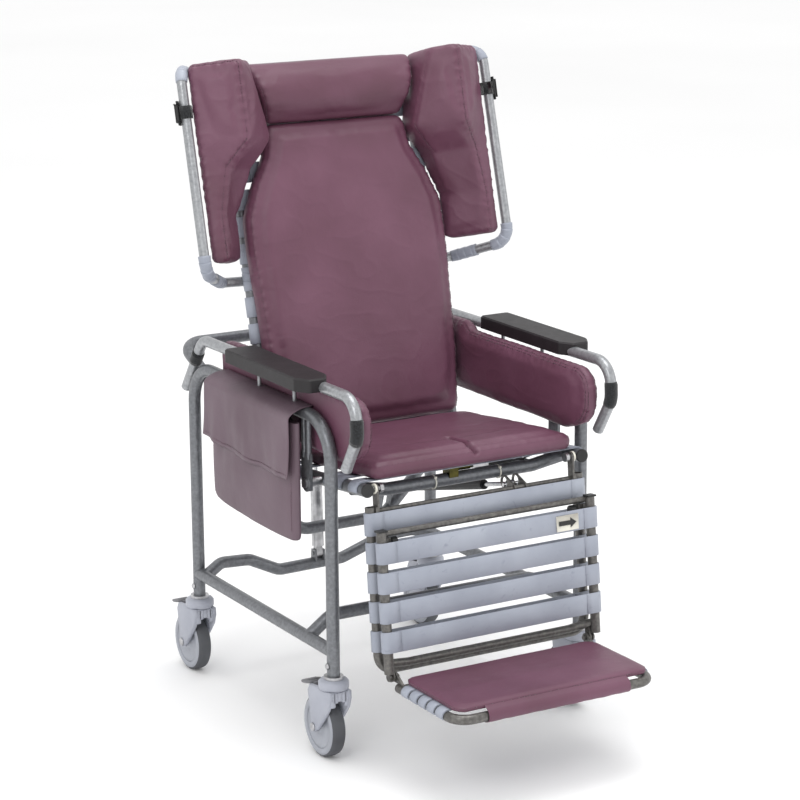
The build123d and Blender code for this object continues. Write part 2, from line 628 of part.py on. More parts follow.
def calf_frame():
    """Sliding frame in front of the legrest frame, with the footboard's hinge ears."""
    tubes = [pipe([leg_point(sx * LEG_X, 76, CALF_N), leg_point(sx * LEG_X, 349, CALF_N)], None, LEG_D)
             for sx in (-1, 1)]
    outside = group([rod(leg_point(sx * LEG_X, 60, CALF_N), leg_point(sx * LEG_X, 349.2, CALF_N),
                         LEG_D / 2 + 0.02) for sx in (-1, 1)])
    bow = [leg_point(-LEG_X, 330, CALF_N - 7), leg_point(-LEG_X + 52, 338, CALF_N - 20),
           leg_point(LEG_X - 52, 338, CALF_N - 20), leg_point(LEG_X, 330, CALF_N - 7)]
    high = [leg_point(-LEG_X, 82, CALF_N - 9), leg_point(LEG_X, 82, CALF_N - 9)]
    pieces = [pipe(bow, 30, 16), pipe(high, None, 12)]
    block = [leg_point(0, s, n)[1:] for s, n in ((90, 15), (112, 15), (112, 33), (90, 33))]
    web = [leg_point(0, s, n)[1:] for s, n in ((90, 32), (112, 32), (112, 39), (90, 39))]
    y, z = FOOT_PIVOT
    for sx in (-1, 1):
        plate = x_plate(block, sx * 212, sx * 229) + x_plate(web, sx * 220, sx * 229)
        pieces.append(plate - x_bar(*KNOB_PIN, sx * 205, sx * 240, 3.05))
        ear = link_plate((y, z), leg_point(0, 341, CALF_N - 12)[1:], 9, 6, sx * 222, sx * 229)
        ear -= rod(*[leg_point(sx * LEG_X, s, CALF_N) for s in (349.2, 372)], LEG_D / 2 + 0.02)
        pieces.append(ear - x_bar(y, z, sx * 215, sx * 235, 5.05))
    coped = [max((piece - outside).solids(), key=lambda s: s.volume) for piece in pieces]
    for i in (3, 5):
        coped[i] = max((coped[i] - pipe(bow, 30, 16.04, 0)).solids(), key=lambda s: s.volume)
    return group(tubes + coped)


def calf_straps():
    return group([band(leg_point(0, 116 + 57 * i, CALF_N), LEG_DOWN, LEG_X, LEG_D / 2, STRAP_W)
                  for i in range(4)])


def tube_caps():
    """Square black plugs in the upper ends of the calf frame tubes."""
    caps = []
    for _, sx in SIDES:
        plane = Plane(origin=leg_point(sx * LEG_X, 76, CALF_N), z_dir=LEG_DOWN)
        plug = extrude(plane * Circle(LEG_D / 2 - TUBE_WALL - 0.05), amount=14)
        caps.append(plug + extrude(plane * Rectangle(19, 19), amount=-3.5))
    return group(caps)


def lock_knob(sx):
    """Pull knob and plunger that lock the calf frame on the legrest frame."""
    knob = fillet(x_bar(*KNOB_PIN, sx * 196, sx * 208, 9).faces().sort_by(Axis.X)[0].edges(), 1.5)
    return knob + x_bar(*KNOB_PIN, sx * 207, sx * 227, 3)


FOOT_X = 218.0
FOOT_FRONT_Y = -642.0
FOOT_Z = 180.0


def foot_frame():
    """U tube of the footboard with hinge links at its rear ends."""
    y, z = FOOT_PIVOT
    points = [(-FOOT_X, -430, FOOT_Z), (-FOOT_X, FOOT_FRONT_Y, FOOT_Z),
              (FOOT_X, FOOT_FRONT_Y, FOOT_Z), (FOOT_X, -430, FOOT_Z)]
    frame = pipe(points, 34, LEG_D)
    rear = pipe([(-FOOT_X, -440, FOOT_Z), (FOOT_X, -440, FOOT_Z)], None, 16)
    for sx in (-1, 1):
        rear -= rod((sx * FOOT_X, -500, FOOT_Z), (sx * FOOT_X, -400, FOOT_Z), LEG_D / 2 + 0.02)
    frame += max(rear.solids(), key=lambda s: s.volume)
    for sx in (-1, 1):
        link = link_plate((y, z), (-446, FOOT_Z), 9, 8, sx * 215, sx * 220)
        link -= rod((sx * FOOT_X, -500, FOOT_Z), (sx * FOOT_X, -400, FOOT_Z), LEG_D / 2 - 1)
        frame += link + x_bar(y, z, sx * 211, sx * 231.5, 5) + x_bar(y, z, sx * 229.4, sx * 233, 8)
    return frame


def foot_straps():
    """Short straps wound round the footboard's side tubes and tied under the pad."""
    straps = []
    for i in range(5):
        y = -470 - 31 * i
        straps.append(band((0, y, FOOT_Z), (0, -1, 0), FOOT_X, LEG_D / 2, 25, hook=0.8))
    return group(straps)


def foot_pad():
    """Padded panel on the footboard, with a flap that wraps the front tube."""
    top = FOOT_Z + LEG_D / 2 + STRAP_T + 0.6
    plan = RectangleRounded(438, 214, 24)
    panel = extrude(Pos(0, -541, top) * plan, amount=11)
    panel = fillet(panel.faces().sort_by(Axis.Z)[-1].edges(), 4)
    y = FOOT_FRONT_Y
    wrap = Pos(0, y, FOOT_Z) * Rot(0, 90, 0) * Cylinder(LEG_D / 2 + 3.4, 316)
    wrap -= Pos(0, y, FOOT_Z) * Rot(0, 90, 0) * Cylinder(LEG_D / 2 + 0.4, 330)
    return panel + wrap + Pos(0, y + 6, top + 0.8) * Box(316, 14, 1.6)


# ---------------------------------------------------------------- casters
def caster_parts(sx, sy):
    """Fork with its axle, wheel with its tyre, and brake pedal of one caster."""
    x, y = sx * SIDE_X, sy * POST_Y
    at = Pos(x, y, 0)
    axle_y, axle_z = TRAIL, WHEEL_R
    clear = x_bar(axle_y, axle_z, -17.3, 17.3, WHEEL_R + 4)
    crown = Pos(0, 0, 158) * Cylinder(25, 19)
    crown = fillet(crown.faces().sort_by(Axis.Z)[-1].edges(), 4)
    cheek = [(-24, 152), (-21, 128), (axle_y - 17, axle_z), (axle_y + 17, axle_z),
             (axle_y + 16, 118), (axle_y + 15, 146), (24, 152)]
    fork = x_plate(cheek, -24, 24) + x_bar(axle_y, axle_z, -24, 24, 17) + crown
    fork -= clear + rod((0, 0, 148), (0, 0, 170), 6.06) + x_bar(axle_y, axle_z, -30, 30, 6.02)
    fork -= Pos(0, 49, 146) * Box(35, 30, 30)
    axle = x_bar(axle_y, axle_z, -27, 27, 6) + x_bar(axle_y, axle_z, 24.1, 28, 9)
    axle += x_bar(axle_y, axle_z, -28, -24.1, 9)
    pivot = x_bar(44, 139, -23.9, 23.9, 3)
    fork = group(fork.solids() + axle.solids() + pivot.solids())
    core = x_bar(axle_y, axle_z, -12, 12, 44) + x_bar(axle_y, axle_z, -16.8, 16.8, 15)
    dish = x_bar(axle_y, axle_z, 6, 13, 38) - x_bar(axle_y, axle_z, 5, 14, 18)
    core -= dish + mirror(dish, about=Plane.YZ) + x_bar(axle_y, axle_z, -20, 20, 6.06)
    tyre = x_bar(axle_y, axle_z, -WHEEL_W / 2, WHEEL_W / 2, WHEEL_R)
    tyre = fillet(tyre.edges(), 9) - x_bar(axle_y, axle_z, -20, 20, 44.03)
    wheel = group(core.solids() + tyre.solids())
    tongue = make_face(Polyline((-23, 46), (23, 46), (19, 104), (-19, 104), close=True))
    pedal = fillet(extrude(tongue, amount=5).edges().filter_by(Axis.Z).sort_by(Axis.Y)[-2:], 10)
    pedal = Pos(0, 0, 148) * (Pos(0, 46, 0) * Rot(-17, 0, 0) * Pos(0, -46, 0) * pedal)
    pedal -= Pos(0, 46, 146) * Box(80, 18, 30) - Pos(0, 46, 146) * Box(33, 19, 31)
    pedal += x_bar(44, 139, -16.5, 16.5, 6.5) + Pos(0, 48, 145) * Box(33, 8, 9)
    pedal -= x_bar(44, 139, -20, 20, 3.06)
    return [at * part for part in (fork, wheel, pedal)]


def write_base():
    for name, sx in SIDES:
        save(side_frame(sx), f"side_frame_{name}")
        save(arm_loop(sx), f"arm_loop_{name}")
        save(arm_pad(sx), f"arm_pad_{name}")
        save(side_bolster(sx), f"side_bolster_{name}")
    save(cross_tubes(), "cross_tubes")
    save(group([caster_stem(sx, sy) for _, sx, sy in CORNERS]), "caster_stems")
    save(arm_straps(), "arm_straps")
    save(side_pouch(), "side_pouch")
    save(pouch_flap(), "pouch_flap")


def write_seat():
    save(seat_frame_tube(), "seat_frame_tube")
    save(seat_front_tube(), "seat_front_tube")
    save(seat_hanger(), "seat_hanger")
    save(rail_end_caps(), "rail_end_caps")
    save(seat_straps(), "seat_straps")
    save(seat_cushion(), "seat_cushion")
    save(pivot_bolts(), "pivot_bolts")
    save(release_valve(), "release_valve")
    save(release_lever(), "release_lever")
    save(release_cable(), "release_cable")


def write_springs():
    save(spring_cylinder(TILT_FOOT_PIN, TILT_TOP_PIN, 0, 13, 176, 7.4), "tilt_cylinder")
    save(spring_rod(TILT_FOOT_PIN, TILT_TOP_PIN, 0, 160, 17), "tilt_rod")
    x = RECLINE_SPRING_X
    save(spring_cylinder(RECLINE_FRONT_PIN, RECLINE_REAR_PIN, x, 10, 250, 7.4), "recline_cylinder")
    save(spring_rod(RECLINE_FRONT_PIN, RECLINE_REAR_PIN, x, 200, 17), "recline_rod")
    x = LEG_SPRING_X
    save(spring_cylinder(LEG_REAR_PIN, LEG_FRONT_PIN, x, 10, 400, 7.4), "legrest_cylinder")
    save(spring_rod(LEG_REAR_PIN, LEG_FRONT_PIN, x, 320, 17), "legrest_rod")


def write_back():
    save(back_hoop(), "back_hoop")
    save(back_straps(), "back_straps")
    save(back_cushion(), "back_cushion")
    save(head_pillow(), "head_pillow")
    save(wing_straps(), "wing_straps")
    for name, sx in SIDES:
        save(wing_loop(sx), f"wing_loop_{name}")
        save(wing_pad(sx), f"wing_pad_{name}")


def write_legs():
    save(legrest_frame(), "legrest_frame")
    save(legrest_straps(), "legrest_straps")
    save(calf_frame(), "calf_frame")
    save(calf_straps(), "calf_straps")
    save(tube_caps(), "tube_caps")
    for name, sx in SIDES:
        save(lock_knob(sx), f"lock_knob_{name}")
    save(foot_frame(), "foot_frame")
    save(foot_straps(), "foot_straps")
    save(foot_pad(), "foot_pad")


def write_casters():
    for name, sx, sy in CORNERS:
        for shape, kind in zip(caster_parts(sx, sy), ("caster_fork", "caster_wheel", "brake_pedal")):
            save(shape, f"{kind}_{name}")


os.makedirs("parts", exist_ok=True)
write_base()
write_seat()
write_springs()
write_back()
write_legs()
write_casters()
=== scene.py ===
import json
from math import cos, pi, radians, sin, tan

import bmesh
import bpy
import numpy as np
from mathutils import Matrix, Vector, noise
from mathutils.bvhtree import BVHTree
from mathutils.kdtree import KDTree


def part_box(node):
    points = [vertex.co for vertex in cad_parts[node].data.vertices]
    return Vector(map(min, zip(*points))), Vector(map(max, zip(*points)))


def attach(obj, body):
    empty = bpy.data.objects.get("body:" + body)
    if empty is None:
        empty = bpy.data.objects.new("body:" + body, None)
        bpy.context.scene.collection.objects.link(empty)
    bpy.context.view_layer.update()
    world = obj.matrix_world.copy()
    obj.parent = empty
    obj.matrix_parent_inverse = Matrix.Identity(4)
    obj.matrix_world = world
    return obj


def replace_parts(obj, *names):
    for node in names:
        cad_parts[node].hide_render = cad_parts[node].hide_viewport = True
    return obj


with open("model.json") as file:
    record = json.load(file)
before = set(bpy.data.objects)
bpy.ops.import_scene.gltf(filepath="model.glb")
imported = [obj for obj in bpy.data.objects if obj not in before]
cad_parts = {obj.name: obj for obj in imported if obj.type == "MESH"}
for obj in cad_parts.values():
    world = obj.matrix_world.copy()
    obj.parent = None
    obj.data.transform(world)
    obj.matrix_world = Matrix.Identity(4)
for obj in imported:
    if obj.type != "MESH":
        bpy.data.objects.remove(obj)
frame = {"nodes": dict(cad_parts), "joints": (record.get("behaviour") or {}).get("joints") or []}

SCENE = bpy.context.scene
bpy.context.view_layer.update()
JOINTS = {joint["name"]: joint for joint in frame["joints"]}
SIDES = (("left", 1), ("right", -1))
CASTERS = ("fl", "fr", "rl", "rr")
UP = Vector((0, 0, 1))
X, Y = Vector((1, 0, 0)), Vector((0, 1, 0))


def pivot(name):
    return Vector(JOINTS[name]["pos_m"])


RECLINE, LEG, FOOT = pivot("recline"), pivot("legrest_lift"), pivot("footboard_flip")
BACK_LEAN, LEG_LEAN, SEAT_DROP = radians(14.0), radians(5.64), radians(5.87)
LEG_DOWN = Vector((0, -sin(LEG_LEAN), -cos(LEG_LEAN)))
LEG_OUT = Vector((0, -cos(LEG_LEAN), sin(LEG_LEAN)))
SEAT_FORE = Vector((0, -cos(SEAT_DROP), sin(SEAT_DROP)))
SEAT_UP = Vector((0, sin(SEAT_DROP), cos(SEAT_DROP)))
BACK_UP = Vector((0, sin(BACK_LEAN), cos(BACK_LEAN)))
BACK_OUT = Vector((0, -cos(BACK_LEAN), sin(BACK_LEAN)))
WING_FLARE, WING_IN, WING_ROOT_N = radians(37.0), 0.164, 0.036
WING_DEPTH, WING_THICK = 0.15, 0.104
TUBE_R, LEG_R, STRAP_T, STRAP_GAP = 0.0127, 0.0095, 0.0022, 0.0003
REST_N = 0.0155           # back face of the back's cushions, on its straps


def back_point(x, v, n):
    """v up the back's tubes from the recline pivot, n forward of their plane."""
    return Vector((x, RECLINE.y, RECLINE.z)) + BACK_UP * v + BACK_OUT * n


def wing_point(sx, a, b, v):
    """a along a wing's inner face, b outward through its thickness, v up the back."""
    x = WING_IN + a * sin(WING_FLARE) + b * cos(WING_FLARE)
    return back_point(sx * x, v, WING_ROOT_N + a * cos(WING_FLARE) - b * sin(WING_FLARE))


def wing_axis(sx, a, b):
    """Direction along a wing's inner face (1, 0) or outward through its thickness (0, 1)."""
    return (wing_point(sx, a, b, 0) - wing_point(sx, 0, 0, 0)).normalized()


def leg_point(x, s, n):
    """s down the legrest's tubes from its pivot, n forward of them."""
    return Vector((x, LEG.y, LEG.z)) + LEG_DOWN * s + LEG_OUT * n


# ---- materials
def linear(colour):
    """Linear RGBA of an sRGB hex colour."""
    parts = [int(colour[i:i + 2], 16) / 255 for i in (1, 3, 5)]
    return tuple(c / 12.92 if c <= 0.04045 else ((c + 0.055) / 1.055) ** 2.4 for c in parts) + (1,)


class Finish:
    """A Principled material whose colour, roughness and bump come from procedural nodes."""

    def __init__(self, name, metallic=0.0, specular=0.5, sheen=0.0):
        self.material = bpy.data.materials.new(name)
        self.material.use_nodes = True
        self.tree = self.material.node_tree
        self.shader = self.tree.nodes["Principled BSDF"]
        for socket, value in (("Metallic", metallic), ("Specular IOR Level", specular),
                              ("Sheen Weight", sheen)):
            self.shader.inputs[socket].default_value = value
        self.place = self.tree.nodes.new("ShaderNodeTexCoord").outputs["Object"]
        self.bump_normal = None

    def link(self, a, b):
        self.tree.links.new(a, b)

    def node(self, kind, values):
        """New node of a kind with some of its sockets set."""
        node = self.tree.nodes.new("ShaderNode" + kind)
        for socket, value in values.items():
            node.inputs[socket].default_value = value
        return node

    def noise(self, scale, detail=3.0, stretch=None, distortion=0.0):
        node = self.node("TexNoise", {"Scale": scale, "Detail": detail, "Distortion": distortion})
        self.link(self.stretched(stretch), node.inputs["Vector"])
        return node.outputs["Fac"]

    def cells(self, scale, feature="F1"):
        node = self.node("TexVoronoi", {"Scale": scale})
        node.feature = feature
        self.link(self.place, node.inputs["Vector"])
        return node.outputs["Distance"]

    def waves(self, scale, direction):
        node = self.node("TexWave", {"Scale": scale, "Distortion": 0.5})
        node.bands_direction = direction
        self.link(self.place, node.inputs["Vector"])
        return node.outputs["Fac"]

    def stretched(self, stretch):
        if stretch is None:
            return self.place
        node = self.node("Mapping", {"Scale": stretch})
        self.link(self.place, node.inputs["Vector"])
        return node.outputs["Vector"]

    def ramp(self, value, stops):
        node = self.node("ValToRGB", {})
        elements = node.color_ramp.elements
        while len(elements) < len(stops):
            elements.new(0.5)
        for element, (position, colour) in zip(elements, stops):
            element.position = position
            element.color = linear(colour) if isinstance(colour, str) else (colour,) * 3 + (1,)
        self.link(value, node.inputs["Fac"])
        return node.outputs["Color"]

    def colour(self, value, stops):
        self.link(self.ramp(value, stops), self.shader.inputs["Base Color"])

    def worn(self, base, edge, mask_value, low, high):
        """Base colour output, mixed towards a worn colour where the mask is high."""
        node = self.node("Mix", {})
        node.data_type = "RGBA"
        self.link(self.ramp(mask_value, [(low, 0.0), (high, 1.0)]), node.inputs["Factor"])
        self.link(base, node.inputs[6])
        node.inputs[7].default_value = linear(edge)
        self.link(node.outputs[2], self.shader.inputs["Base Color"])

    def rough(self, value, low, high):
        node = self.node("MapRange", {"To Min": low, "To Max": high})
        self.link(value, node.inputs["Value"])
        self.link(node.outputs["Result"], self.shader.inputs["Roughness"])

    def bump(self, value, height, strength=1.0):
        node = self.node("Bump", {"Distance": height, "Strength": strength})
        self.link(value, node.inputs["Height"])
        if self.bump_normal is not None:
            self.link(self.bump_normal, node.inputs["Normal"])
        self.bump_normal = node.outputs["Normal"]
        self.link(self.bump_normal, self.shader.inputs["Normal"])


def vinyl(name, dark, mid, light, low, high, folds):
    """Upholstery vinyl: pebbled grain, soft creases, colour that drifts a little."""
    f = Finish(name, specular=0.45)
    f.colour(f.noise(5.0, 5.0), [(0.28, dark), (0.52, mid), (0.78, light)])
    f.rough(f.noise(26.0, 4.0), low, high)
    f.bump(f.noise(34.0, 4.0, distortion=0.6), folds)
    f.bump(f.cells(620.0), 0.00022, 0.45)
    f.bump(f.noise(1500.0, 2.0), 0.0001, 0.3)
    return f.material


def painted(name, dark, mid, light, metallic, low, high):
    """Hammered paint on steel: mottled grey with a pebbled skin."""
    f = Finish(name, metallic=metallic, specular=0.5)
    f.colour(f.noise(150.0, 5.0), [(0.3, dark), (0.5, mid), (0.72, light)])
    f.rough(f.noise(120.0, 3.0), low, high)
    f.bump(f.cells(240.0, "SMOOTH_F1"), 0.0005, 0.35)
    f.bump(f.noise(900.0, 2.0), 0.0001, 0.3)
    return f.material


def plastic(name, dark, light, low, high, grain=900.0, depth=0.00012):
    f = Finish(name, specular=0.45)
    f.colour(f.noise(14.0, 4.0), [(0.3, dark), (0.7, light)])
    f.rough(f.noise(60.0, 3.0), low, high)
    f.bump(f.noise(grain, 3.0), depth, 0.5)
    return f.material


def bare_metal(name, dark, light, low, high, brushed=None):
    f = Finish(name, metallic=1.0)
    f.colour(f.noise(70.0, 4.0), [(0.3, dark), (0.7, light)])
    f.rough(f.noise(180.0, 3.0, stretch=brushed), low, high)
    f.bump(f.noise(800.0, 2.0, stretch=brushed), 0.00008, 0.4)
    return f.material


def webbing(name, dark, light):
    """Woven nylon: ribs across, a diagonal twill and a few pale fibres."""
    f = Finish(name, specular=0.3, sheen=0.3)
    f.colour(f.noise(420.0, 2.0), [(0.35, dark), (0.7, light)])
    f.rough(f.noise(200.0), 0.75, 0.95)
    f.bump(f.waves(260.0, "Z"), 0.0003, 0.6)
    f.bump(f.waves(300.0, "DIAGONAL"), 0.0002, 0.5)
    return f.material


def strap_vinyl():
    """Smooth pale strap vinyl with draw lines along it and scuffs."""
    f = Finish("strap_vinyl", specular=0.45)
    base = f.ramp(f.noise(9.0, 5.0), [(0.3, "#8e939f"), (0.55, "#999eaa"), (0.75, "#a3a8b3")])
    f.worn(base, "#858a97", f.noise(55.0, 6.0, distortion=1.0), 0.62, 0.8)
    f.rough(f.noise(30.0, 4.0), 0.36, 0.52)
    f.bump(f.noise(26.0, 3.0, stretch=(0.35, 1, 1)), 0.0009, 0.35)
    f.bump(f.noise(700.0, 2.0), 0.00008, 0.4)
    return f.material


M = {
    "vinyl": vinyl("burgundy_vinyl", "#573342", "#633d4f", "#6f485b", 0.4, 0.52, 0.0007),
    "pouch": vinyl("faded_vinyl", "#58454f", "#62505a", "#6d5b65", 0.46, 0.58, 0.0009),
    "frame": painted("hammered_grey", "#696b6e", "#74767a", "#808285", 0.6, 0.3, 0.44),
    "arm": painted("silver_paint", "#8b8d90", "#9a9c9f", "#a8aaac", 0.6, 0.26, 0.38),
    "leg": painted("bronze_grey", "#55534f", "#646260", "#76746f", 0.6, 0.3, 0.46),
    "strap": strap_vinyl(),
    "pad": plastic("arm_pad_foam", "#141113", "#201c1f", 0.48, 0.62, 380.0, 0.0003),
    "webbing": webbing("black_webbing", "#111213", "#2b2d30"),
    "black": plastic("black_plastic", "#151515", "#2a2a2b", 0.38, 0.55),
    "housing": plastic("caster_plastic", "#999ca7", "#a9acb6", 0.36, 0.5),
    "pedal": plastic("pedal_plastic", "#5d5d60", "#727276", 0.45, 0.6),
    "tread": plastic("tyre_tread", "#46474b", "#585a5e", 0.6, 0.78, 420.0, 0.00025),
    "wheel": plastic("wheel_plastic", "#94979f", "#a5a8b0", 0.42, 0.56),
    "steel": bare_metal("zinc_steel", "#9a9a9c", "#c4c4c6", 0.22, 0.4),
    "chrome": bare_metal("piston_chrome", "#b8b8ba", "#dededf", 0.08, 0.18, (1, 8, 1)),
    "brass": bare_metal("olive_brass", "#35331f", "#5c5730", 0.28, 0.45),
    "cream": plastic("nylon_cream", "#d6d3c6", "#ece9de", 0.4, 0.55),
    "thread": webbing("burgundy_thread", "#4a2c3a", "#6d475a"),
}


# ---- mesh helpers
def new_object(name, bm, finish, body, smooth=True):
    """Object from a bmesh, with a material and a CAD body."""
    mesh = bpy.data.meshes.new(name)
    bmesh.ops.recalc_face_normals(bm, faces=bm.faces)
    bm.to_mesh(mesh)
    bm.free()
    obj = bpy.data.objects.new(name, mesh)
    SCENE.collection.objects.link(obj)
    mesh.materials.append(M[finish])
    mesh.polygons.foreach_set("use_smooth", [smooth] * len(mesh.polygons))
    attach(obj, body)
    return obj


def read(items, name):
    flat = np.empty(len(items) * 3)
    items.foreach_get(name, flat)
    return flat.reshape(-1, 3)


def coords(mesh):
    return read(mesh.vertices, "co")


def normals(mesh):
    return read(mesh.vertex_normals, "vector")


def set_coords(mesh, points):
    mesh.vertices.foreach_set("co", np.ascontiguousarray(points).ravel())
    mesh.update()


def evaluated(obj):
    graph = bpy.context.evaluated_depsgraph_get()
    return bpy.data.meshes.new_from_object(obj.evaluated_get(graph))


def thicken(obj, thickness, offset):
    sheet = obj.modifiers.new("thick", "SOLIDIFY")
    sheet.thickness, sheet.offset = thickness, offset


def subdivide(obj):
    obj.modifiers.new("finer", "SUBSURF").levels = 1


def bake_modifiers(obj):
    mesh = evaluated(obj)
    obj.modifiers.clear()
    old, obj.data = obj.data, mesh
    bpy.data.meshes.remove(old)


def sweep(bm, points, ring, side=None, grow=None):
    """Sweep a closed ring of (u, w) offsets along points. side fixes the u direction."""
    points = [Vector(p) for p in points]
    count, rings = len(points), []
    u = None
    for i, p in enumerate(points):
        d = (points[min(i + 1, count - 1)] - points[max(i - 1, 0)]).normalized()
        if side is not None:
            u = (side - d * side.dot(d)).normalized()
        elif u is None:
            u = d.orthogonal().normalized()
        else:
            u = (u - d * u.dot(d)).normalized()
        w = d.cross(u)
        size = grow[i] if grow else 1.0
        rings.append([bm.verts.new(p + (u * a + w * b) * size) for a, b in ring])
    bridge(bm, rings)
    bm.faces.new(rings[0][::-1])
    bm.faces.new(rings[-1])


def bridge(bm, rings, closed=True):
    """Quads between one ring of vertices and the next."""
    for one, two in zip(rings, rings[1:]):
        n = len(one)
        for k in range(n if closed else n - 1):
            bm.faces.new((one[k], one[(k + 1) % n], two[(k + 1) % n], two[k]))


def circle(r, n=16):
    return [(r * cos(2 * pi * k / n), r * sin(2 * pi * k / n)) for k in range(n)]


def slab(width, thick, r):
    """Ring of a flat strip with rounded edges, width along u, thick along w."""
    hw, ht = width / 2, thick / 2
    return [(-hw, -ht + r), (-hw + r, -ht), (0, -ht), (hw - r, -ht), (hw, -ht + r),
            (hw, ht - r), (hw - r, ht), (0, ht), (-hw + r, ht), (-hw, ht - r)]


def lathe(bm, centre, axis, profile, segments=48):
    """Turn a closed (along, radius) profile about an axis."""
    axis = axis.normalized()
    u = axis.orthogonal().normalized()
    w = axis.cross(u)
    rings = []
    for k in range(segments):
        t = 2 * pi * k / segments
        out = u * cos(t) + w * sin(t)
        rings.append([bm.verts.new(centre + axis * a + out * r) for a, r in profile])
    bridge(bm, rings + rings[:1])


def resample(points, step):
    points = [Vector(p) for p in points]
    out, carry = [points[0]], 0.0
    for a, b in zip(points, points[1:]):
        length = (b - a).length
        t = step - carry
        while t <= length:
            out.append(a.lerp(b, t / length))
            t += step
        carry = length - (t - step)
    return out


PATH_STEP = 0.004


def bent(points, radii):
    """Points along a polyline whose inner corners are rounded to the given radii."""
    points = [Vector(p) for p in points]
    out = [points[0]]
    for a, b, c, r in zip(points, points[1:], points[2:], radii):
        u, w = (a - b).normalized(), (c - b).normalized()
        half = u.angle(w) / 2
        centre = b + (u + w).normalized() * (r / sin(half))
        start, end = b + u * (r / tan(half)), b + w * (r / tan(half))
        out += [centre + (start.lerp(end, k / 8) - centre).normalized() * r for k in range(9)]
    return resample(out + [points[-1]], PATH_STEP)


def around(path, place, before, after):
    """The part of a path from before to after the point nearest to a place."""
    index = min(range(len(path)), key=lambda i: (path[i] - place).length)
    low = max(0, index - round(before / PATH_STEP))
    return path[low:index + round(after / PATH_STEP) + 1]


def bevelled_box(bm, centre, axes, size, r, segments=3):
    """Box with rounded edges, its axes given as three unit vectors."""
    made = bmesh.ops.create_cube(bm, size=1.0)["verts"]
    turn = Matrix([axes[0], axes[1], axes[2]]).transposed()
    for v in made:
        v.co = Vector(centre) + turn @ Vector([c * s for c, s in zip(v.co, size)])
    edges = list({e for v in made for e in v.link_edges})
    bmesh.ops.bevel(bm, geom=edges, offset=r, segments=segments, profile=0.5, affect="EDGES")


# ---- padded pieces
def prism(outline, place, w0, w1):
    """Closed body from a (u, v) outline between two depths."""
    bm = bmesh.new()
    low = [bm.verts.new(place(u, v, w0)) for u, v in outline]
    high = [bm.verts.new(place(u, v, w1)) for u, v in outline]
    bm.faces.new(low[::-1])
    bm.faces.new(high)
    bridge(bm, [low, high])
    return bm


LEAST_SWELL, SLIP = 0.38, 0.22      # of a cushion's cap: its flattest side, its sideways shift


def inflate(obj, cap, keep, voxel=0.0055, pressure=4.0, round_r=0.01):
    """Blow a closed body up as cloth, with a capped swell, inside the space it may fill."""
    bevel = obj.modifiers.new("round", "BEVEL")
    bevel.width, bevel.segments = round_r, 3
    remesh = obj.modifiers.new("remesh", "REMESH")
    remesh.mode, remesh.voxel_size = "VOXEL", voxel
    bake_modifiers(obj)
    rest = coords(obj.data)
    cloth = obj.modifiers.new("swell", "CLOTH")
    cloth.settings.quality = 5
    cloth.settings.mass = 0.3
    cloth.settings.use_pressure = True
    cloth.settings.uniform_pressure_force = pressure
    cloth.settings.effector_weights.gravity = 0
    for number in range(1, 21):
        SCENE.frame_set(number)
    swollen = evaluated(obj)
    moved = coords(swollen)
    obj.modifiers.clear()
    bpy.data.meshes.remove(swollen)
    SCENE.frame_set(1)
    out = normals(obj.data)
    step = moved - rest
    swell = (step * out).sum(axis=1, keepdims=True)
    slip = step - out * swell
    length = np.linalg.norm(slip, axis=1, keepdims=True)
    slip *= np.minimum(1.0, SLIP * cap / np.maximum(length, 1e-9))
    set_coords(obj.data, keep(rest + slip + out * np.clip(swell, LEAST_SWELL * cap, cap)))
    smooth = obj.modifiers.new("smooth", "SMOOTH")
    smooth.factor, smooth.iterations = 0.5, 4
    subdivide(obj)
    bake_modifiers(obj)
    obj.data.polygons.foreach_set("use_smooth", [True] * len(obj.data.polygons))


SEAM_STEP, PUCKER_PITCH = 0.003, 0.021


def surface_tree(mesh):
    return BVHTree.FromPolygons([v.co for v in mesh.vertices], [p.vertices for p in mesh.polygons])


def on_surface(mesh, points):
    """Points and normals where a line lies on a mesh."""
    tree = surface_tree(mesh)
    found = [tree.find_nearest(p) for p in resample(points, SEAM_STEP)]
    return [(hit[0], hit[1]) for hit in found if hit[0] is not None]


def dress(obj, seams, seed, folds, keep):
    """Add creases, sewn grooves with puckers, and return each seam's line for its thread."""
    points, out = coords(obj.data), normals(obj.data)
    shift = np.zeros(len(points))
    offset = Vector((seed * 7.3, seed * 3.1, seed * 1.7))
    for i, p in enumerate(points):
        place = Vector(p)
        broad = noise.noise(place * 9 + offset)
        crease = 1 - abs(noise.noise(Vector((place.x * 16, place.y * 11, place.z * 22)) + offset))
        shift[i] = folds * (broad + 0.5 * (crease ** 8 - 0.25))
    lines = []
    for line, depth, width, pucker in seams:
        samples = on_surface(obj.data, line)
        tree = KDTree(len(samples))
        for i, (place, _) in enumerate(samples):
            tree.insert(place, i)
        tree.balance()
        reach = width * 5
        for i, p in enumerate(points):
            _, index, distance = tree.find(p)
            if distance < reach:
                along = index * SEAM_STEP
                drift = 3 * noise.noise(Vector((along * 30, seed, 0)))
                wave = sin(along * 2 * pi / PUCKER_PITCH + drift)
                shift[i] -= depth * np.exp(-(distance / width) ** 2)
                shift[i] += pucker * wave * np.exp(-((distance - width) / (2 * width)) ** 2)
        lines.append(samples)
    points = points + out * shift[:, None]
    set_coords(obj.data, keep(points))
    return lines


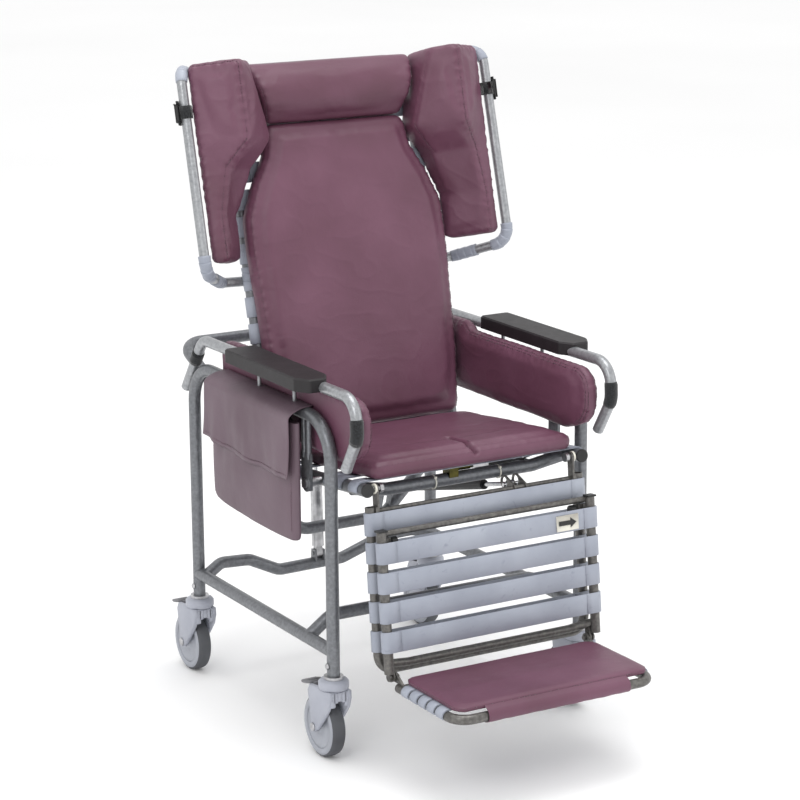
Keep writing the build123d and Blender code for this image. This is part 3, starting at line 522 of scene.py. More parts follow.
def stitch(name, obj, lines, body, sides=(0.0035,), pitch=0.0058):
    """Thread stitches beside each seam line, laid on the piece's final surface."""
    bm = bmesh.new()
    tree = surface_tree(obj.data)
    for line in lines:
        places = resample([p for p, _ in line], pitch)
        for a, b in zip(places, places[1:]):
            tangent = (b - a).normalized()
            hit = tree.find_nearest(a.lerp(b, 0.5))
            if hit[0] is None:
                continue
            for side in sides:
                across = hit[1].cross(tangent).normalized()
                seat = tree.find_nearest(hit[0] + across * side)
                bevelled_box(bm, seat[0] + seat[1] * 0.0001, (tangent, across, seat[1]),
                             (0.0038, 0.0008, 0.0007), 0.0003, 1)
    thread = new_object(name, bm, "thread", body)
    thread.parent = obj
    return thread


def cushion(name, node, body, bm, cap, keep, seams, seed, fill=0.7, finish="vinyl",
            sides=(0.0035,), folds=0.0014, **options):
    obj = new_object(name, bm, finish, body)
    inflate(obj, cap, keep, **options)
    lines = dress(obj, seams, seed, folds, keep)
    obj.data.materials.clear()
    obj.data.materials.append(M[finish])
    if lines:
        stitch(name + "_thread", obj, lines, body, sides)
    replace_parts(obj, node)
    return obj


def at_least(points, direction, origin, low):
    """Push points that lie under a plane back up onto it."""
    d = np.array(direction)
    height = (points - np.array(origin)) @ d
    return points + np.maximum(0.0, low - height)[:, None] * d


# ---- back cushions
def keep_back(points):
    return at_least(points, BACK_OUT, back_point(0, 0, 0), REST_N)


def make_back_cushion():
    half = [(0.2, 0.052), (0.214, 0.18), (0.218, 0.3), (0.223, 0.42), (0.221, 0.49),
            (0.196, 0.55), (0.164, 0.608), (0.156, 0.6655)]
    outline = half + [(-x, v) for x, v in reversed(half)]
    bm = prism(outline, back_point, 0.021, 0.052)
    left = [back_point(x, v, 0.05) for x, v in half]
    right = [back_point(-x, v, 0.05) for x, v in half]
    seams = [(side, 0.0012, 0.004, 0.0006) for side in (left, right)]
    cushion("back_cushion_cover", "back_cushion", "back_frame", bm, 0.016, keep_back, seams, 1,
            sides=(-0.004,), folds=0.001)


def pillow_half(v):
    """Half length of the pillow, which widens towards its top to meet the wings."""
    return 0.153 + 0.04 * (v - 0.672) / 0.125


def make_pillow():
    """Bolster with a ridge along its front, closed by a flat panel at each end."""
    section = [(0.02, 0.676), (0.05, 0.676), (0.079, 0.712), (0.083, 0.742), (0.06, 0.788),
               (0.03, 0.794), (0.02, 0.788)]

    def place(n, v, side):
        return back_point(side * pillow_half(v), v, n)
    bm = prism(section, place, -1, 1)
    ends = []
    for side in (-1, 1):
        loop = [place(n, v, side) for n, v in section + section[:1]]
        ends.append((loop, 0.0012, 0.004, 0.0007))

    def keep(points):
        points = keep_back(points)
        v = (points - np.array(back_point(0, 0, 0))) @ np.array(BACK_UP)
        limit = pillow_half(v) + 0.007
        points[:, 0] = np.clip(points[:, 0], -limit, limit)
        return points
    cushion("head_pillow_cover", "head_pillow", "back_frame", bm, 0.01, keep, ends, 2,
            sides=(0.0,), folds=0.0009)


FRONT_IN, FRONT_OUT, REAR_OUT = (0.251, 0.151), (0.333, 0.09), (0.28, 0.0185)
WING_LEVELS = (            # v, then (x, n) of the rear inner corner, the knee and the front one
    (0.407, (0.237, 0.0185), (0.27, 0.061), (0.305, 0.104)),
    (0.497, (0.236, 0.0185), (0.268, 0.062), (0.306, 0.104)),
    (0.59, (0.204, 0.0185), (0.218, 0.064), (0.289, 0.11)),
    (0.64, (0.17, 0.0185), (0.167, 0.08), FRONT_IN),
    (0.795, (0.204, 0.0185), (0.208, 0.11), FRONT_IN))


def make_wing(side, sx):
    """Head wing: a thick block beside the head whose underside slopes back to a thin foot."""
    bm = bmesh.new()
    rings = []
    for v, *inner in WING_LEVELS:
        corners = list(inner) + [FRONT_OUT, REAR_OUT]
        rings.append([bm.verts.new(back_point(sx * x, v, n)) for x, n in corners])
    bridge(bm, rings)
    bm.faces.new(rings[0])
    bm.faces.new(rings[-1][::-1])
    bmesh.ops.recalc_face_normals(bm, faces=bm.faces)
    inner_edge = [ring[2].co.copy() for ring in rings]
    outer_edge = [ring[3].co.copy() for ring in rings]
    knee = [ring[1].co.copy() for ring in rings[2:]]
    seams = [(inner_edge, 0.0014, 0.0035, 0.0007), (outer_edge, 0.0012, 0.0035, 0.0005),
             ([inner_edge[-1], outer_edge[-1]], 0.0014, 0.0035, 0.0006), (knee, 0.0012, 0.005, 0.0)]
    along, flare_out = wing_axis(sx, 1, 0), wing_axis(sx, 0, 1)

    def keep(points):
        points = keep_back(points)
        points = at_least(points, -flare_out, wing_point(sx, 0, WING_THICK + 0.0005, 0), 0.0)
        points = at_least(points, -along, wing_point(sx, WING_DEPTH + 0.006, 0, 0), 0.0)
        return at_least(points, -BACK_UP, back_point(0, 0.81, 0), 0.0)
    cushion(f"head_wing_{side}", f"wing_pad_{side}", "back_frame", bm, 0.008, keep, seams,
            3 + sx, sides=(0.0,), round_r=0.006, folds=0.0016)


# ---- seat, bolsters, foot pad
def seat_point(x, s, h):
    """s forward along the rails from the seat cushion's middle, h above its underside."""
    low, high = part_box("seat_cushion")
    middle = (low + high) / 2
    return Vector((x, middle.y, middle.z)) + SEAT_FORE * s + SEAT_UP * (h - 0.018)


def make_seat():
    half_x, half_s = 0.221, 0.194
    outline = [(-half_x, -half_s), (half_x, -half_s), (half_x, half_s), (-half_x, half_s)]
    bm = prism(outline, seat_point, 0.004, 0.029)
    edge = [seat_point(x, s, 0.029) for x, s in ((-0.219, -0.19), (-0.219, 0.192), (0.219, 0.192),
                                                 (0.219, -0.19))]
    slit = [seat_point(x, s, 0.034) for x, s in ((0.002, 0.208), (-0.003, 0.16), (0.001, 0.092))]
    cross = [seat_point(x, s, 0.036) for x, s in ((-0.1, 0.092), (0.0, 0.108), (0.13, 0.1))]

    def keep(points):
        points = at_least(points, SEAT_UP, seat_point(0, 0, 0), 0.0004)
        points[:, 0] = np.clip(points[:, 0], -0.2295, 0.2295)
        return points
    cushion("seat_cushion_cover", "seat_cushion", "seat_frame", bm, 0.014, keep,
            [(edge, 0.001, 0.004, 0.0002), (slit, 0.0125, 0.0048, 0.0002),
             (cross, 0.0013, 0.014, 0.0)], 7, sides=(-0.004,), folds=0.0012)


BOLSTER = [(0.196, 0.598), (0.196, 0.736), (0.082, 0.741), (0.062, 0.7255), (-0.342, 0.7255),
           (-0.366, 0.713), (-0.377, 0.688), (-0.376, 0.65), (-0.36, 0.623), (-0.334, 0.608),
           (-0.29, 0.598)]


def make_bolster(side, sx):
    """Side bolster: a long pad with a rounded front and double-stitched edges."""
    origin = frame_y()
    bm = prism([(y + origin, z) for y, z in BOLSTER], lambda y, z, x: Vector((sx * x, y, z)),
               0.241, 0.265)
    seams = []
    for x in (0.238, 0.266):
        line = [(sx * x, y + origin, z) for y, z in BOLSTER[1:10]]
        seams.append((line, 0.0012, 0.004, 0.0006))
    low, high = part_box(f"arm_pad_{side}")

    def keep(points):
        size = np.clip(points[:, 0] * sx, 0.2305, 0.2697)
        points[:, 0] = size * sx
        behind = np.clip((points[:, 1] - high.y) / 0.012, 0.0, 1.0)
        points[:, 2] = np.minimum(points[:, 2], low.z - 0.0006 + 0.014 * behind)
        front = points[:, 1] < -0.29 + origin
        floor = np.where(front, 0.5915 + (-0.29 + origin - points[:, 1]) * 0.4, 0.5915)
        points[:, 2] = np.maximum(points[:, 2], floor)
        return points
    cushion(f"bolster_{side}", f"side_bolster_{side}", "base", bm, 0.01, keep, seams,
            10 + sx, sides=(-0.003, 0.003))


def frame_y():
    """Y of the middle plane between the front and rear casters."""
    return (pivot("swivel_fl").y + pivot("swivel_rl").y) / 2


def rounded(x0, x1, y0, y1, r, steps=5):
    """Rectangle outline with rounded corners."""
    out = []
    for cx, cy, start in ((x1 - r, y1 - r, 0), (x0 + r, y1 - r, 90), (x0 + r, y0 + r, 180),
                          (x1 - r, y0 + r, 270)):
        for k in range(steps + 1):
            a = radians(start + 90 * k / steps)
            out.append((cx + r * cos(a), cy + r * sin(a)))
    return out


def foot_tube_z():
    """Height of the footboard tube's centre line: its straps are even above and below it."""
    low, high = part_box("foot_straps")
    return (low.z + high.z) / 2


def make_foot_pad():
    low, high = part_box("foot_pad")
    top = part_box("foot_straps")[1].z + 0.0004
    tube_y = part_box("foot_frame")[0].y + LEG_R
    half = high.x - 0.003
    outline = rounded(-half, half, tube_y + 0.001, high.y - 0.003, 0.026)
    bm = prism(outline, lambda x, y, z: Vector((x, y, z)), top + 0.0015, top + 0.0085)
    rim = [(x, y, top + 0.005) for x, y in outline + outline[:1]]

    def keep(points):
        crown = np.clip((high.y - 0.075 - points[:, 1]) / 0.05, 0.0, 1.0)
        points[:, 2] = np.clip(points[:, 2], top, high.z - 0.0008 + 0.004 * crown)
        points[:, 0] = np.clip(points[:, 0], low.x, high.x)
        points[:, 1] = np.clip(points[:, 1], low.y, high.y)
        return points
    pad = cushion("foot_pad_cover", "foot_pad", "footboard", bm, 0.005, keep,
                  [(rim, 0.0012, 0.003, 0.0)], 20, fill=0.4, sides=(0.0022,), voxel=0.0042,
                  round_r=0.0035, folds=0.0004)
    make_foot_wrap(pad, top)


def make_foot_wrap(pad, top):
    """Flap of the pad that wraps down round the front tube and closes under it."""
    tube = Vector((0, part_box("foot_frame")[0].y + LEG_R, foot_tube_z()))
    bm = bmesh.new()
    rows, half = [], 0.158
    r = LEG_R + 0.0016
    section = [(0.03, top - tube.z + 0.0095), (0.012, top - tube.z + 0.0095)]
    section += [(r * sin(-t) * 1.05, r * cos(t) + 0.0035 * max(0.0, cos(t)))
                for t in [radians(a) for a in range(10, 150, 14)]]
    section += [(0.004, -r - 0.0015), (0.01, -r - 0.0005)]
    count = 60
    for i in range(count + 1):
        x = -half + 2 * half * i / count
        pull = 0.0012 * noise.noise(Vector((x * 45, 2.0, 0)))
        row = []
        for k, (y, z) in enumerate(section):
            swell = pull * k / len(section)
            row.append(bm.verts.new((x, tube.y + y - swell, tube.z + z - swell)))
        rows.append(row)
    bridge(bm, rows, closed=False)
    wrap = new_object("foot_pad_wrap", bm, "vinyl", "footboard")
    thicken(wrap, 0.0016, 1.0)
    subdivide(wrap)
    bake_modifiers(wrap)
    wrap.parent = pad


# ---- pouch
def make_pouch():
    """Sagging open bag on the right side frame, with a cover flap over its mouth."""
    low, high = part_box("side_pouch")
    y0, y1, z0, z1 = low.y - 0.006, high.y - 0.002, low.z + 0.001, high.z - 0.004
    inner, outer = high.x - 0.0006, low.x + 0.002
    rows, columns = 26, 34
    bm = bmesh.new()
    rings = []
    for j in range(rows + 1):
        t = j / rows                                   # 0 at the bottom, 1 at the mouth
        z = z0 + (z1 - z0) * t
        tuck = 0.008 * (1 - min(1.0, t / 0.05)) ** 2   # rounded lower corners
        belly = 0.006 * sin(pi * min(1.0, t * 1.15)) - 0.006 * (1 - min(1.0, t / 0.06))
        front, back = [], []
        for i in range(columns):
            across = i / (columns - 1)
            y = y0 + tuck + (y1 - y0 - 2 * tuck) * across
            edge = sin(pi * across) ** 0.35
            fold = 0.0035 * noise.noise(Vector((y * 13, z * 7, 1.0)))
            fold += 0.003 * noise.noise(Vector((y * 32, z * 5, 4.0))) * t
            depth = (inner - outer) * (0.3 + 0.7 * edge) + (belly + fold) * edge
            rise = 0.01 * across * (1 - t) ** 2
            front.append((inner - depth, y, z + rise - 0.006 * edge * (1 - t)))
            back.append((inner, y, z + rise))
        rings.append([bm.verts.new(p) for p in front + back[::-1]])
    bridge(bm, rings)
    n, bottom = 2 * columns, rings[0]
    for i in range(columns - 1):
        bm.faces.new((bottom[i], bottom[i + 1], bottom[n - 2 - i], bottom[n - 1 - i]))
    bag = new_object("pouch_bag", bm, "pouch", "base")
    thicken(bag, 0.0018, -1.0)
    subdivide(bag)
    bake_modifiers(bag)
    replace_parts(bag, "side_pouch")
    seam = [(outer + 0.006, y1 - 0.012, z0 + 0.02), (outer + 0.004, y1 - 0.008, z1 - 0.02)]
    front = [(outer + 0.006, y0 + 0.012, z0 + 0.02), (outer + 0.004, y0 + 0.008, z1 - 0.02)]
    stitch("pouch_thread", bag, [on_surface(bag.data, seam), on_surface(bag.data, front)], "base",
           (0.0,))
    make_flap()


def hem_z(low, s):
    """Height of the flap's hem, s from its front edge to its rear one."""
    return low.z - 0.004 - 0.01 * sin(pi * s) - 0.012 * (1 - s) ** 2


def make_flap():
    """Cover sheet that hangs from the top tube over the pouch in soft folds."""
    low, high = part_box("pouch_flap")
    rows, columns = 40, 70
    bm = bmesh.new()
    grid = []
    top_z = high.z - 0.0012
    for j in range(rows + 1):
        t = j / rows
        row = []
        for i in range(columns + 1):
            s = i / columns
            y = low.y + (high.y - low.y) * s
            hem = hem_z(low, s)
            if t < 0.22:
                k = t / 0.22
                x = high.x + (-0.292 - high.x) * k
                z = top_z - 0.001 * k
            else:
                k = (t - 0.22) / 0.78
                bend = min(1.0, k / 0.22)
                x = -0.292 + (low.x + 0.0012 + 0.292) * sin(bend * pi / 2)
                z = top_z - 0.001 - (top_z - 0.001 - hem) * (k ** 1.25)
                free = max(0.0, k - 0.12)
                wave = noise.noise(Vector((y * 17, 1.3, k * 1.2)))
                wave += 0.2 * noise.noise(Vector((y * 41, 5.0, k * 2.0)))
                x -= 0.011 * free * (0.35 + wave)
                y += 0.004 * free * noise.noise(Vector((y * 20, 9.0, k * 3)))
            row.append(bm.verts.new((x, y, z)))
        grid.append(row)
    bridge(bm, grid, closed=False)
    flap = new_object("pouch_flap_sheet", bm, "pouch", "base")
    thicken(flap, 0.0014, 0.0)
    bake_modifiers(flap)
    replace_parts(flap, "pouch_flap")
    hem = [(low.x - 0.018, low.y + (high.y - low.y) * s, hem_z(low, s) + 0.009)
           for s in np.linspace(0.01, 0.99, 40)]
    thread = stitch("flap_thread", flap, [on_surface(flap.data, hem)], "base", (0.0,))


# ---- straps
def arc(x, r, start, end, step=10):
    """(x, n) points round a tube at x, by degrees from its top towards +x."""
    return [(x + r * sin(radians(a)), r * cos(radians(a))) for a in range(start, end, step)]


def strap(bm, origin, up, fore, half_span, r, width, seed, hook=50):
    """Vinyl strap pulled across two tubes, with each end wound back over its tube."""
    t = STRAP_T - 0.0004
    reach = r + STRAP_GAP + t / 2
    path = arc(-half_span, reach, -90 - hook, 1)
    flat = 22
    for k in range(1, flat):
        f = k / flat
        dip = 0.0009 * noise.noise(Vector((f * 5, seed * 2.7, 0.5)))
        path.append((-half_span + 2 * half_span * f, reach + dip * sin(pi * f)))
    path += arc(half_span, reach, 0, 91 + hook)
    points = [origin + X * x + up * n for x, n in path]
    sweep(bm, points, slab(width, t, 0.0007), side=fore)
    for s in (-1, 1):
        over = reach + t + 0.00005
        inner_end = 0.024 + 0.004 * noise.noise(Vector((seed * 5.1, s, 0)))
        lap = arc(half_span, over, 100, -1, -10)
        lap += [(half_span - inner_end * 0.5, over), (half_span - inner_end, over - 0.0003)]
        points = [origin + X * (s * x) + up * n for x, n in lap]
        sweep(bm, points, slab(width * 0.985, t * 0.8, 0.0006), side=fore * s)


def make_straps(name, node, body, places, up, fore, half_span, r, width, hook=50):
    bm = bmesh.new()
    for i, origin in enumerate(places):
        strap(bm, origin, up, fore, half_span, r, width, i + len(name), hook)
    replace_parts(new_object(name, bm, "strap", body), node)


def make_all_straps():
    """Straps of the legrest, calf frame, seat, back and footboard."""
    leg_x, calf_n = 0.235, 0.039
    upper = bmesh.new()
    strap(upper, leg_point(0, 0.066, 0), LEG_OUT, LEG_DOWN, leg_x, LEG_R, 0.044, 3)
    for i, s in enumerate((0.121, 0.178, 0.235, 0.292)):
        strap(upper, leg_point(0, s, 0), LEG_OUT, LEG_DOWN, leg_x, LEG_R, 0.041, i + 5)
    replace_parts(new_object("legrest_straps_vinyl", upper, "strap", "legrest"), "legrest_straps")
    make_straps("calf_straps_vinyl", "calf_straps", "calf_frame",
                [leg_point(0, 0.116 + 0.057 * i, calf_n) for i in range(4)], LEG_OUT, LEG_DOWN,
                leg_x, LEG_R, 0.041, hook=30)
    origin_y = frame_y()
    seat = []
    for y in (-0.326, -0.266, -0.231, -0.11, -0.058, -0.006):
        z = LEG.z - (y + 0.355) * tan(SEAT_DROP)
        seat.append(Vector((0, y + origin_y, z)))
    make_straps("seat_straps_vinyl", "seat_straps", "seat_frame", seat, SEAT_UP, SEAT_FORE, 0.242,
                TUBE_R, 0.032, hook=20)
    back = [back_point(0, 0.15 + 0.054 * i, 0) for i in range(11) if i != 4]
    make_straps("back_straps_vinyl", "back_straps", "back_frame", back, BACK_OUT, -BACK_UP, 0.213,
                TUBE_R, 0.041)
    foot_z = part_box("foot_straps")[1].z - 0.00235 - LEG_R
    foot = [Vector((0, origin_y - 0.47 - 0.031 * i, foot_z)) for i in range(5)]
    make_straps("foot_straps_vinyl", "foot_straps", "footboard", foot, UP, -Y, 0.218, LEG_R,
                0.025, hook=30)


# ---- small parts
def tape(bm, path, r, turn=0.016):
    """Strap vinyl wound round a tube, in short turns that each lap over the one before."""
    count = max(1, round(turn / PATH_STEP))
    for i in range(0, len(path) - 1, count):
        part = path[i:i + count + 2]
        if len(part) > 1:
            sweep(bm, part, circle(r, 24),
                  grow=[1 + 0.1 * k / (len(part) - 1) for k in range(len(part))])


def wing_loop_path(sx):
    """Centre line of a wing's tube, from the back's side tube round to its top."""
    b = WING_THICK + 0.0115
    points = [back_point(sx * 0.213, 0.366, -0.014), wing_point(sx, 0.026, b, 0.368),
              wing_point(sx, 0.158, b, 0.384), wing_point(sx, 0.152, b + 0.001, 0.788),
              wing_point(sx, 0.034, b + 0.001, 0.786), back_point(sx * 0.192, 0.762, -0.004)]
    return points, bent(points, (0.024, 0.034, 0.03, 0.03))


def make_wing_fittings():
    """Tape round the wing tubes' joints, hold-down straps and buckles."""
    wound, web, clip = bmesh.new(), bmesh.new(), bmesh.new()
    for _, sx in SIDES:
        corners, path = wing_loop_path(sx)
        tape(wound, around(path, corners[2], 0.03, 0.03), 0.0116)
        tape(wound, around(path, corners[1], 0.004, 0.058), 0.0114)
        tape(wound, around(path, corners[3], 0.014, 0.04), 0.0116)
        tape(wound, [back_point(sx * 0.213, 0.345 + 0.004 * k, 0) for k in range(13)], 0.014)
        b = WING_THICK + 0.0115
        out = wing_axis(sx, 0, 1)
        centre = wing_point(sx, 0.1545, b, 0.705)
        lathe(web, centre, BACK_UP, [(-0.0125, 0.0104), (0.0125, 0.0104), (0.0125, 0.0121),
                                     (-0.0125, 0.0121)], 28)
        across = out.cross(BACK_UP)
        bevelled_box(web, centre - out * 0.006, (BACK_UP, across, out), (0.024, 0.0245, 0.01),
                     0.0008, 1)
        bevelled_box(clip, centre + out * 0.0152, (BACK_UP, across, out), (0.033, 0.021, 0.0078),
                     0.0024)
        for shift in (-0.0185, 0.0185):
            bevelled_box(web, centre + out * 0.0142 + BACK_UP * shift, (BACK_UP, across, out),
                         (0.01, 0.019, 0.0024), 0.0006, 1)
    new_object("wing_tube_tape", wound, "strap", "back_frame")
    straps = new_object("wing_webbing", web, "webbing", "back_frame")
    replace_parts(straps, "wing_straps")
    new_object("wing_buckles", clip, "black", "back_frame", smooth=False)


def make_arm_straps():
    """Broad hook-and-loop straps round the arm tubes, front and rear."""
    bm = bmesh.new()
    for side, sx in SIDES:
        low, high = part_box(f"arm_loop_{side}")
        x, origin = (low.x + high.x) / 2, frame_y()
        corners = [Vector((x, y + origin, z)) for y, z in
                   ((0.329, 0.617), (0.245, 0.733), (-0.392, 0.74), (-0.396, 0.668),
                    (-0.352, 0.598))]
        path = bent(corners, (0.046, 0.046, 0.04))
        for place, reach in ((corners[3] + Vector((0, 0, 0.01)), 0.024),
                             (corners[0].lerp(corners[1], 0.64), 0.017)):
            part = around(path, place, reach, reach)
            edge = [0.95] + [1.0] * (len(part) - 2) + [0.95]
            sweep(bm, part, circle(0.0128, 28), grow=edge)
            lap = [p + X * sx * 0.001 for p in part[1:-1]]
            sweep(bm, lap, circle(0.0125, 28))
    straps = new_object("arm_webbing", bm, "webbing", "base")
    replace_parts(straps, "arm_straps")


def make_casters():
    """Moulded housings, wheels, axles and pedals of the four casters."""
    for corner in CASTERS:
        post = pivot(f"swivel_{corner}")
        axle = pivot(f"wheel_{corner}")
        at = Vector((post.x, post.y, 0))
        make_housing(corner, at, axle)
        make_wheel(corner, axle)
        make_pedal(corner, at)


HOOD_TOP = 0.1475               # height of the front wall's top edge


def make_housing(corner, at, axle):
    """Plastic hood: a swivel cap over two cheeks that taper to the axle."""
    bm = bmesh.new()
    lathe(bm, at, UP, [(0.15, 0.0285), (0.153, 0.0298), (0.1635, 0.0298), (0.1672, 0.0268),
                       (0.1678, 0.02), (0.169, 0.0185), (0.169, 0.014), (0.15, 0.014)], 48)
    new_object(f"caster_cap_{corner}", bm, "housing", f"caster_fork_{corner}")
    hood = bmesh.new()
    trail = axle.y - at.y
    side = [(-0.026, 0.1492), (-0.0275, 0.134), (-0.02, 0.112), (-0.002, 0.09),
            (trail - 0.014, 0.06), (trail, 0.0515), (trail + 0.012, 0.06),
            (trail + 0.013, 0.085), (0.056, 0.112), (0.06, 0.135), (0.054, 0.146),
            (0.026, 0.1492)]
    cy, cz = 0.018, 0.115                   # middle of a cheek
    for sx in (-1, 1):
        rings = []
        for x, pull in ((0.018, 1.0), (0.02, 1.0), (0.024, 0.985), (0.0262, 0.93)):
            rings.append([hood.verts.new(at + Vector((sx * x, cy + (y - cy) * pull,
                                                      cz + (z - cz) * pull))) for y, z in side])
        hood.faces.new(rings[0])
        hood.faces.new(rings[-1][::-1])
        bridge(hood, rings)
    bevelled_box(hood, at + Vector((0, 0.001, 0.1405)), (X, Y, UP), (0.04, 0.052, 0.0172), 0.003)
    for x, low in ((-0.015, 0.118), (-0.009, 0.1265), (0.0, 0.129), (0.009, 0.1265),
                   (0.015, 0.118)):
        bevelled_box(hood, at + Vector((x, -0.0235, (low + HOOD_TOP) / 2)), (X, Y, UP),
                     (0.01, 0.005, HOOD_TOP - low), 0.0012, 1)
    shell = new_object(f"caster_hood_{corner}", hood, "housing", f"caster_fork_{corner}")
    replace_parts(shell, f"caster_fork_{corner}")
    steel = bmesh.new()
    for sx in (-1, 1):
        lathe(steel, axle + X * sx * 0.0262, X * sx, [(0.0, 0.0), (0.0, 0.0085), (0.0022, 0.008),
                                                      (0.003, 0.006), (0.003, 0.0)], 24)
    lathe(steel, axle, X, [(-0.0255, 0.0), (-0.0255, 0.0058), (0.0255, 0.0058), (0.0255, 0.0)], 20)
    new_object(f"caster_axle_{corner}", steel, "steel", f"caster_fork_{corner}")


def make_wheel(corner, axle):
    body = f"caster_wheel_{corner}"
    tread = bmesh.new()
    lathe(tread, axle, X, [(-0.0125, 0.052), (-0.0142, 0.057), (-0.0118, 0.0608),
                           (-0.006, 0.0622), (0.0, 0.0625), (0.006, 0.0622), (0.0118, 0.0608),
                           (0.0142, 0.057), (0.0125, 0.052)], 72)
    tyre = new_object(f"tyre_{corner}", tread, "tread", body)
    rim = bmesh.new()
    for sx in (-1, 1):
        lathe(rim, axle, X * sx, [(0.004, 0.046), (0.014, 0.0448), (0.0158, 0.047),
                                  (0.016, 0.053), (0.0146, 0.0572), (0.01, 0.0585),
                                  (0.004, 0.058)], 72)
        lathe(rim, axle, X * sx, [(0.002, 0.0062), (0.0165, 0.0062), (0.0165, 0.014),
                                  (0.012, 0.0165), (0.0095, 0.03), (0.0125, 0.04),
                                  (0.0138, 0.0436), (0.012, 0.0452), (0.002, 0.0455)], 60)
    new_object(f"wheel_disc_{corner}", rim, "wheel", body)
    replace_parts(tyre, f"caster_wheel_{corner}")


def make_pedal(corner, at):
    """Brake pedal: a flat tongue behind the swivel cap with a ribbed step."""
    bm = bmesh.new()
    slope = radians(-17)
    fore = Vector((0, cos(slope), sin(slope)))
    up = Vector((0, -sin(slope), cos(slope)))
    start = at + Vector((0, 0.0565, 0.1476))
    stations = ((0.0, 0.02, 0.005), (0.006, 0.0222, 0.0052), (0.02, 0.0215, 0.0052),
                (0.036, 0.02, 0.0056), (0.046, 0.017, 0.0058), (0.0505, 0.011, 0.0042))
    rings = []
    for s, half, t in stations:
        centre = start + fore * s + up * (-0.0006 + 0.0022 * (s / 0.05) ** 2)
        ring = slab(2 * half, t, 0.0018)
        rings.append([bm.verts.new(centre + X * a + up * b) for a, b in ring])
    bridge(bm, rings)
    bm.faces.new(rings[0][::-1])
    bm.faces.new(rings[-1])
    for k in range(5):
        place = start + fore * (0.014 + 0.007 * k) + up * 0.0027
        bevelled_box(bm, place, (X, fore, up), (0.03 - 0.002 * k, 0.0022, 0.0014), 0.0005, 1)
    hub = at + Vector((0, 0.044, 0.139))
    lathe(bm, hub, X, [(-0.016, 0.0031), (-0.016, 0.0062), (0.016, 0.0062), (0.016, 0.0031)],
          24)
    bevelled_box(bm, at + Vector((0, 0.0515, 0.1452)), (X, fore, up), (0.031, 0.016, 0.0066),
                 0.0016)
    pedal = new_object(f"pedal_{corner}", bm, "pedal", f"brake_pedal_{corner}")
    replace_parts(pedal, f"brake_pedal_{corner}")


def make_under_seat():
    """Cable tie, clips and the arrow plate of the legrest."""
    ties = bmesh.new()
    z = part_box("release_valve")[0].z + 0.002
    for x in (-0.062, 0.085):
        centre = Vector((x, frame_y() - 0.296, z - 0.0078))
        lathe(ties, centre, X, [(-0.0013, 0.0129), (0.0013, 0.0129), (0.0013, 0.0141),
                                (-0.0013, 0.0141)], 28)
        bevelled_box(ties, centre + Vector((0, -0.01, 0.0105)), (X, Y, UP),
                     (0.0052, 0.0045, 0.0045), 0.0006, 1)
    new_object("cable_ties", ties, "cream", "seat_frame")
    plate = bmesh.new()
    place = leg_point(0.1725, 0.1175, 0.052)
    bevelled_box(plate, place, (X, LEG_DOWN, LEG_OUT), (0.05, 0.03, 0.001), 0.0004, 1)
    new_object("arrow_plate", plate, "cream", "calf_frame")
    shaft = place + LEG_OUT * 0.0009
    outline = [(-0.02, -0.0045), (0.006, -0.0045), (0.006, -0.01), (0.02, 0.0),
               (0.006, 0.01), (0.006, 0.0045), (-0.02, 0.0045)]
    arrow = prism(outline, lambda a, b, n: shaft + X * a + LEG_DOWN * b + LEG_OUT * n, 0, 0.0004)
    new_object("arrow_mark", arrow, "black", "calf_frame", smooth=False)


def make_pins():
    """Cross screws at the foot of each post, and the white bushes of the legrest pivots."""
    for corner in CASTERS:
        post = pivot(f"swivel_{corner}")
        side = 1 if post.x > 0 else -1
        bm = bmesh.new()
        centre = Vector((post.x + side * 0.0125, post.y, 0.195))
        lathe(bm, centre, X * side, [(0.0, 0.0), (0.0, 0.0062), (0.0018, 0.006), (0.004, 0.004),
                                     (0.0046, 0.0)], 20)
        new_object(f"post_screw_{corner}", bm, "steel", "base")
    bm = bmesh.new()
    for _, sx in SIDES:
        centre = Vector((sx * 0.2237, LEG.y, LEG.z))
        lathe(bm, centre, X, [(-0.0008, 0.0053), (-0.0008, 0.01), (0.003, 0.01),
                              (0.003, 0.0053)], 28)
    new_object("pivot_bushes", bm, "cream", "seat_frame")


# ---- CAD nodes that stay
NODE_FINISH = {
    "frame": ("side_frame_left", "side_frame_right", "cross_tubes", "seat_frame_tube",
              "seat_front_tube", "seat_hanger", "back_hoop"),
    "arm": ("arm_loop_left", "arm_loop_right", "wing_loop_left", "wing_loop_right"),
    "leg": ("legrest_frame", "calf_frame", "foot_frame"),
    "pad": ("arm_pad_left", "arm_pad_right"),
    "black": ("rail_end_caps", "tube_caps", "lock_knob_left", "lock_knob_right", "release_cable",
              "recline_cylinder", "legrest_cylinder"),
    "steel": ("caster_stems", "pivot_bolts", "release_lever", "tilt_cylinder"),
    "chrome": ("tilt_rod", "recline_rod", "legrest_rod"),
    "brass": ("release_valve",),
}


def finish_nodes():
    for finish, nodes in NODE_FINISH.items():
        for name in nodes:
            data = frame["nodes"][name].data
            data.materials.clear()
            data.materials.append(M[finish])


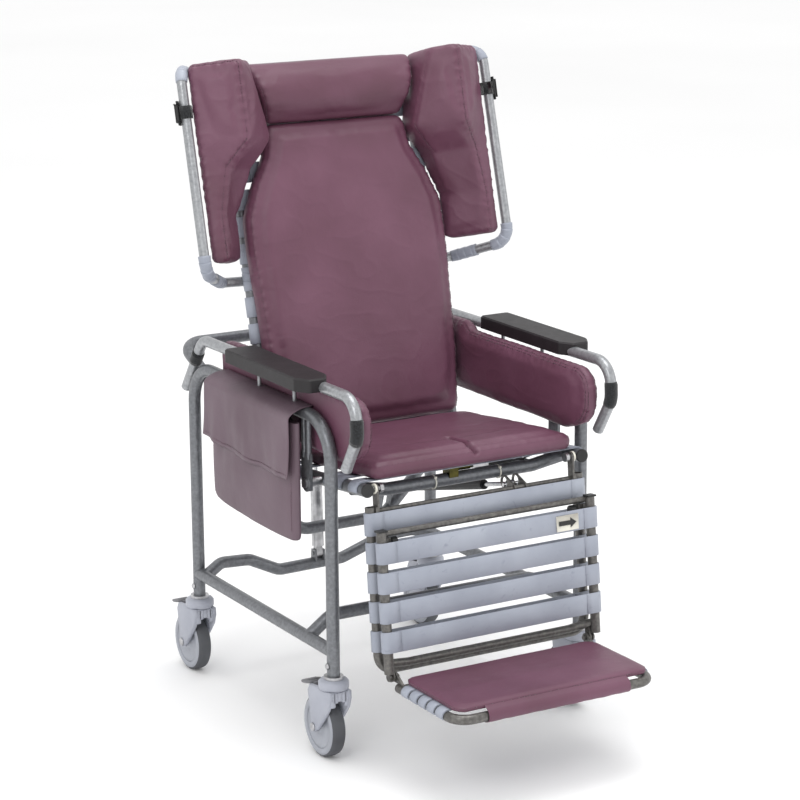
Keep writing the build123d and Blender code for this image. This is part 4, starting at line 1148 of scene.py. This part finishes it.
# ---- stage
def make_stage():
    bm = bmesh.new()
    bmesh.ops.create_grid(bm, x_segments=1, y_segments=1, size=30)
    floor = bpy.data.objects.new("floor", bpy.data.meshes.new("floor"))
    bm.to_mesh(floor.data)
    bm.free()
    SCENE.collection.objects.link(floor)
    surface = Finish("pale_floor", specular=0.2)
    surface.colour(surface.noise(0.4, 2.0), [(0.3, "#f7f7f7"), (0.7, "#fbfbfb")])
    surface.rough(surface.noise(2.0), 0.85, 0.95)
    floor.data.materials.append(surface.material)
    world = bpy.data.worlds.new("studio")
    SCENE.world = world
    world.use_nodes = True
    world.node_tree.nodes["Background"].inputs["Color"].default_value = (1, 1, 1, 1)
    world.node_tree.nodes["Background"].inputs["Strength"].default_value = 1.03
    lights = (("key", (-3.0, -2.4, 3.4), 1.8, 38), ("fill", (3.2, -2.6, 2.0), 2.6, 14),
              ("top", (0.2, -0.2, 4.4), 2.6, 70))
    for name, place, size, power in lights:
        data = bpy.data.lights.new(name, "AREA")
        data.size, data.energy = size, power
        lamp = bpy.data.objects.new(name, data)
        lamp.location = place
        aim = Vector((0, 0, 0.6)) - Vector(place)
        lamp.rotation_euler = aim.to_track_quat("-Z", "Y").to_euler()
        SCENE.collection.objects.link(lamp)


def make_camera():
    """Camera at the photograph's angle, from a solved position in the chair's frame."""
    yaw, pitch, roll = radians(30.19), radians(13.877), radians(-0.36)
    fore = Vector((sin(yaw) * cos(pitch), cos(yaw) * cos(pitch), -sin(pitch)))
    right = Vector((cos(yaw), -sin(yaw), 0))
    up = right.cross(fore)
    right, up = (right * cos(roll) + up * sin(roll), up * cos(roll) - right * sin(roll))
    data = bpy.data.cameras.new("camera")
    data.sensor_width = 36.0
    data.lens = 2604.76 / 800 * 36.0
    data.clip_end = 100
    camera = bpy.data.objects.new("camera", data)
    turn = Matrix((right, up, -fore)).transposed().to_4x4()
    place = Vector((-2.5492, -4.447 + frame_y(), 1.8873))
    camera.matrix_world = Matrix.Translation(place) @ turn
    SCENE.collection.objects.link(camera)
    SCENE.camera = camera
    SCENE.view_settings.view_transform = "Standard"


make_camera()
make_stage()
finish_nodes()
make_back_cushion()
make_pillow()
for side_name, side_sign in SIDES:
    make_wing(side_name, side_sign)
    make_bolster(side_name, side_sign)
make_seat()
make_foot_pad()
make_pouch()
make_all_straps()
make_wing_fittings()
make_arm_straps()
make_casters()
make_under_seat()
make_pins()

bpy.context.view_layer.update()
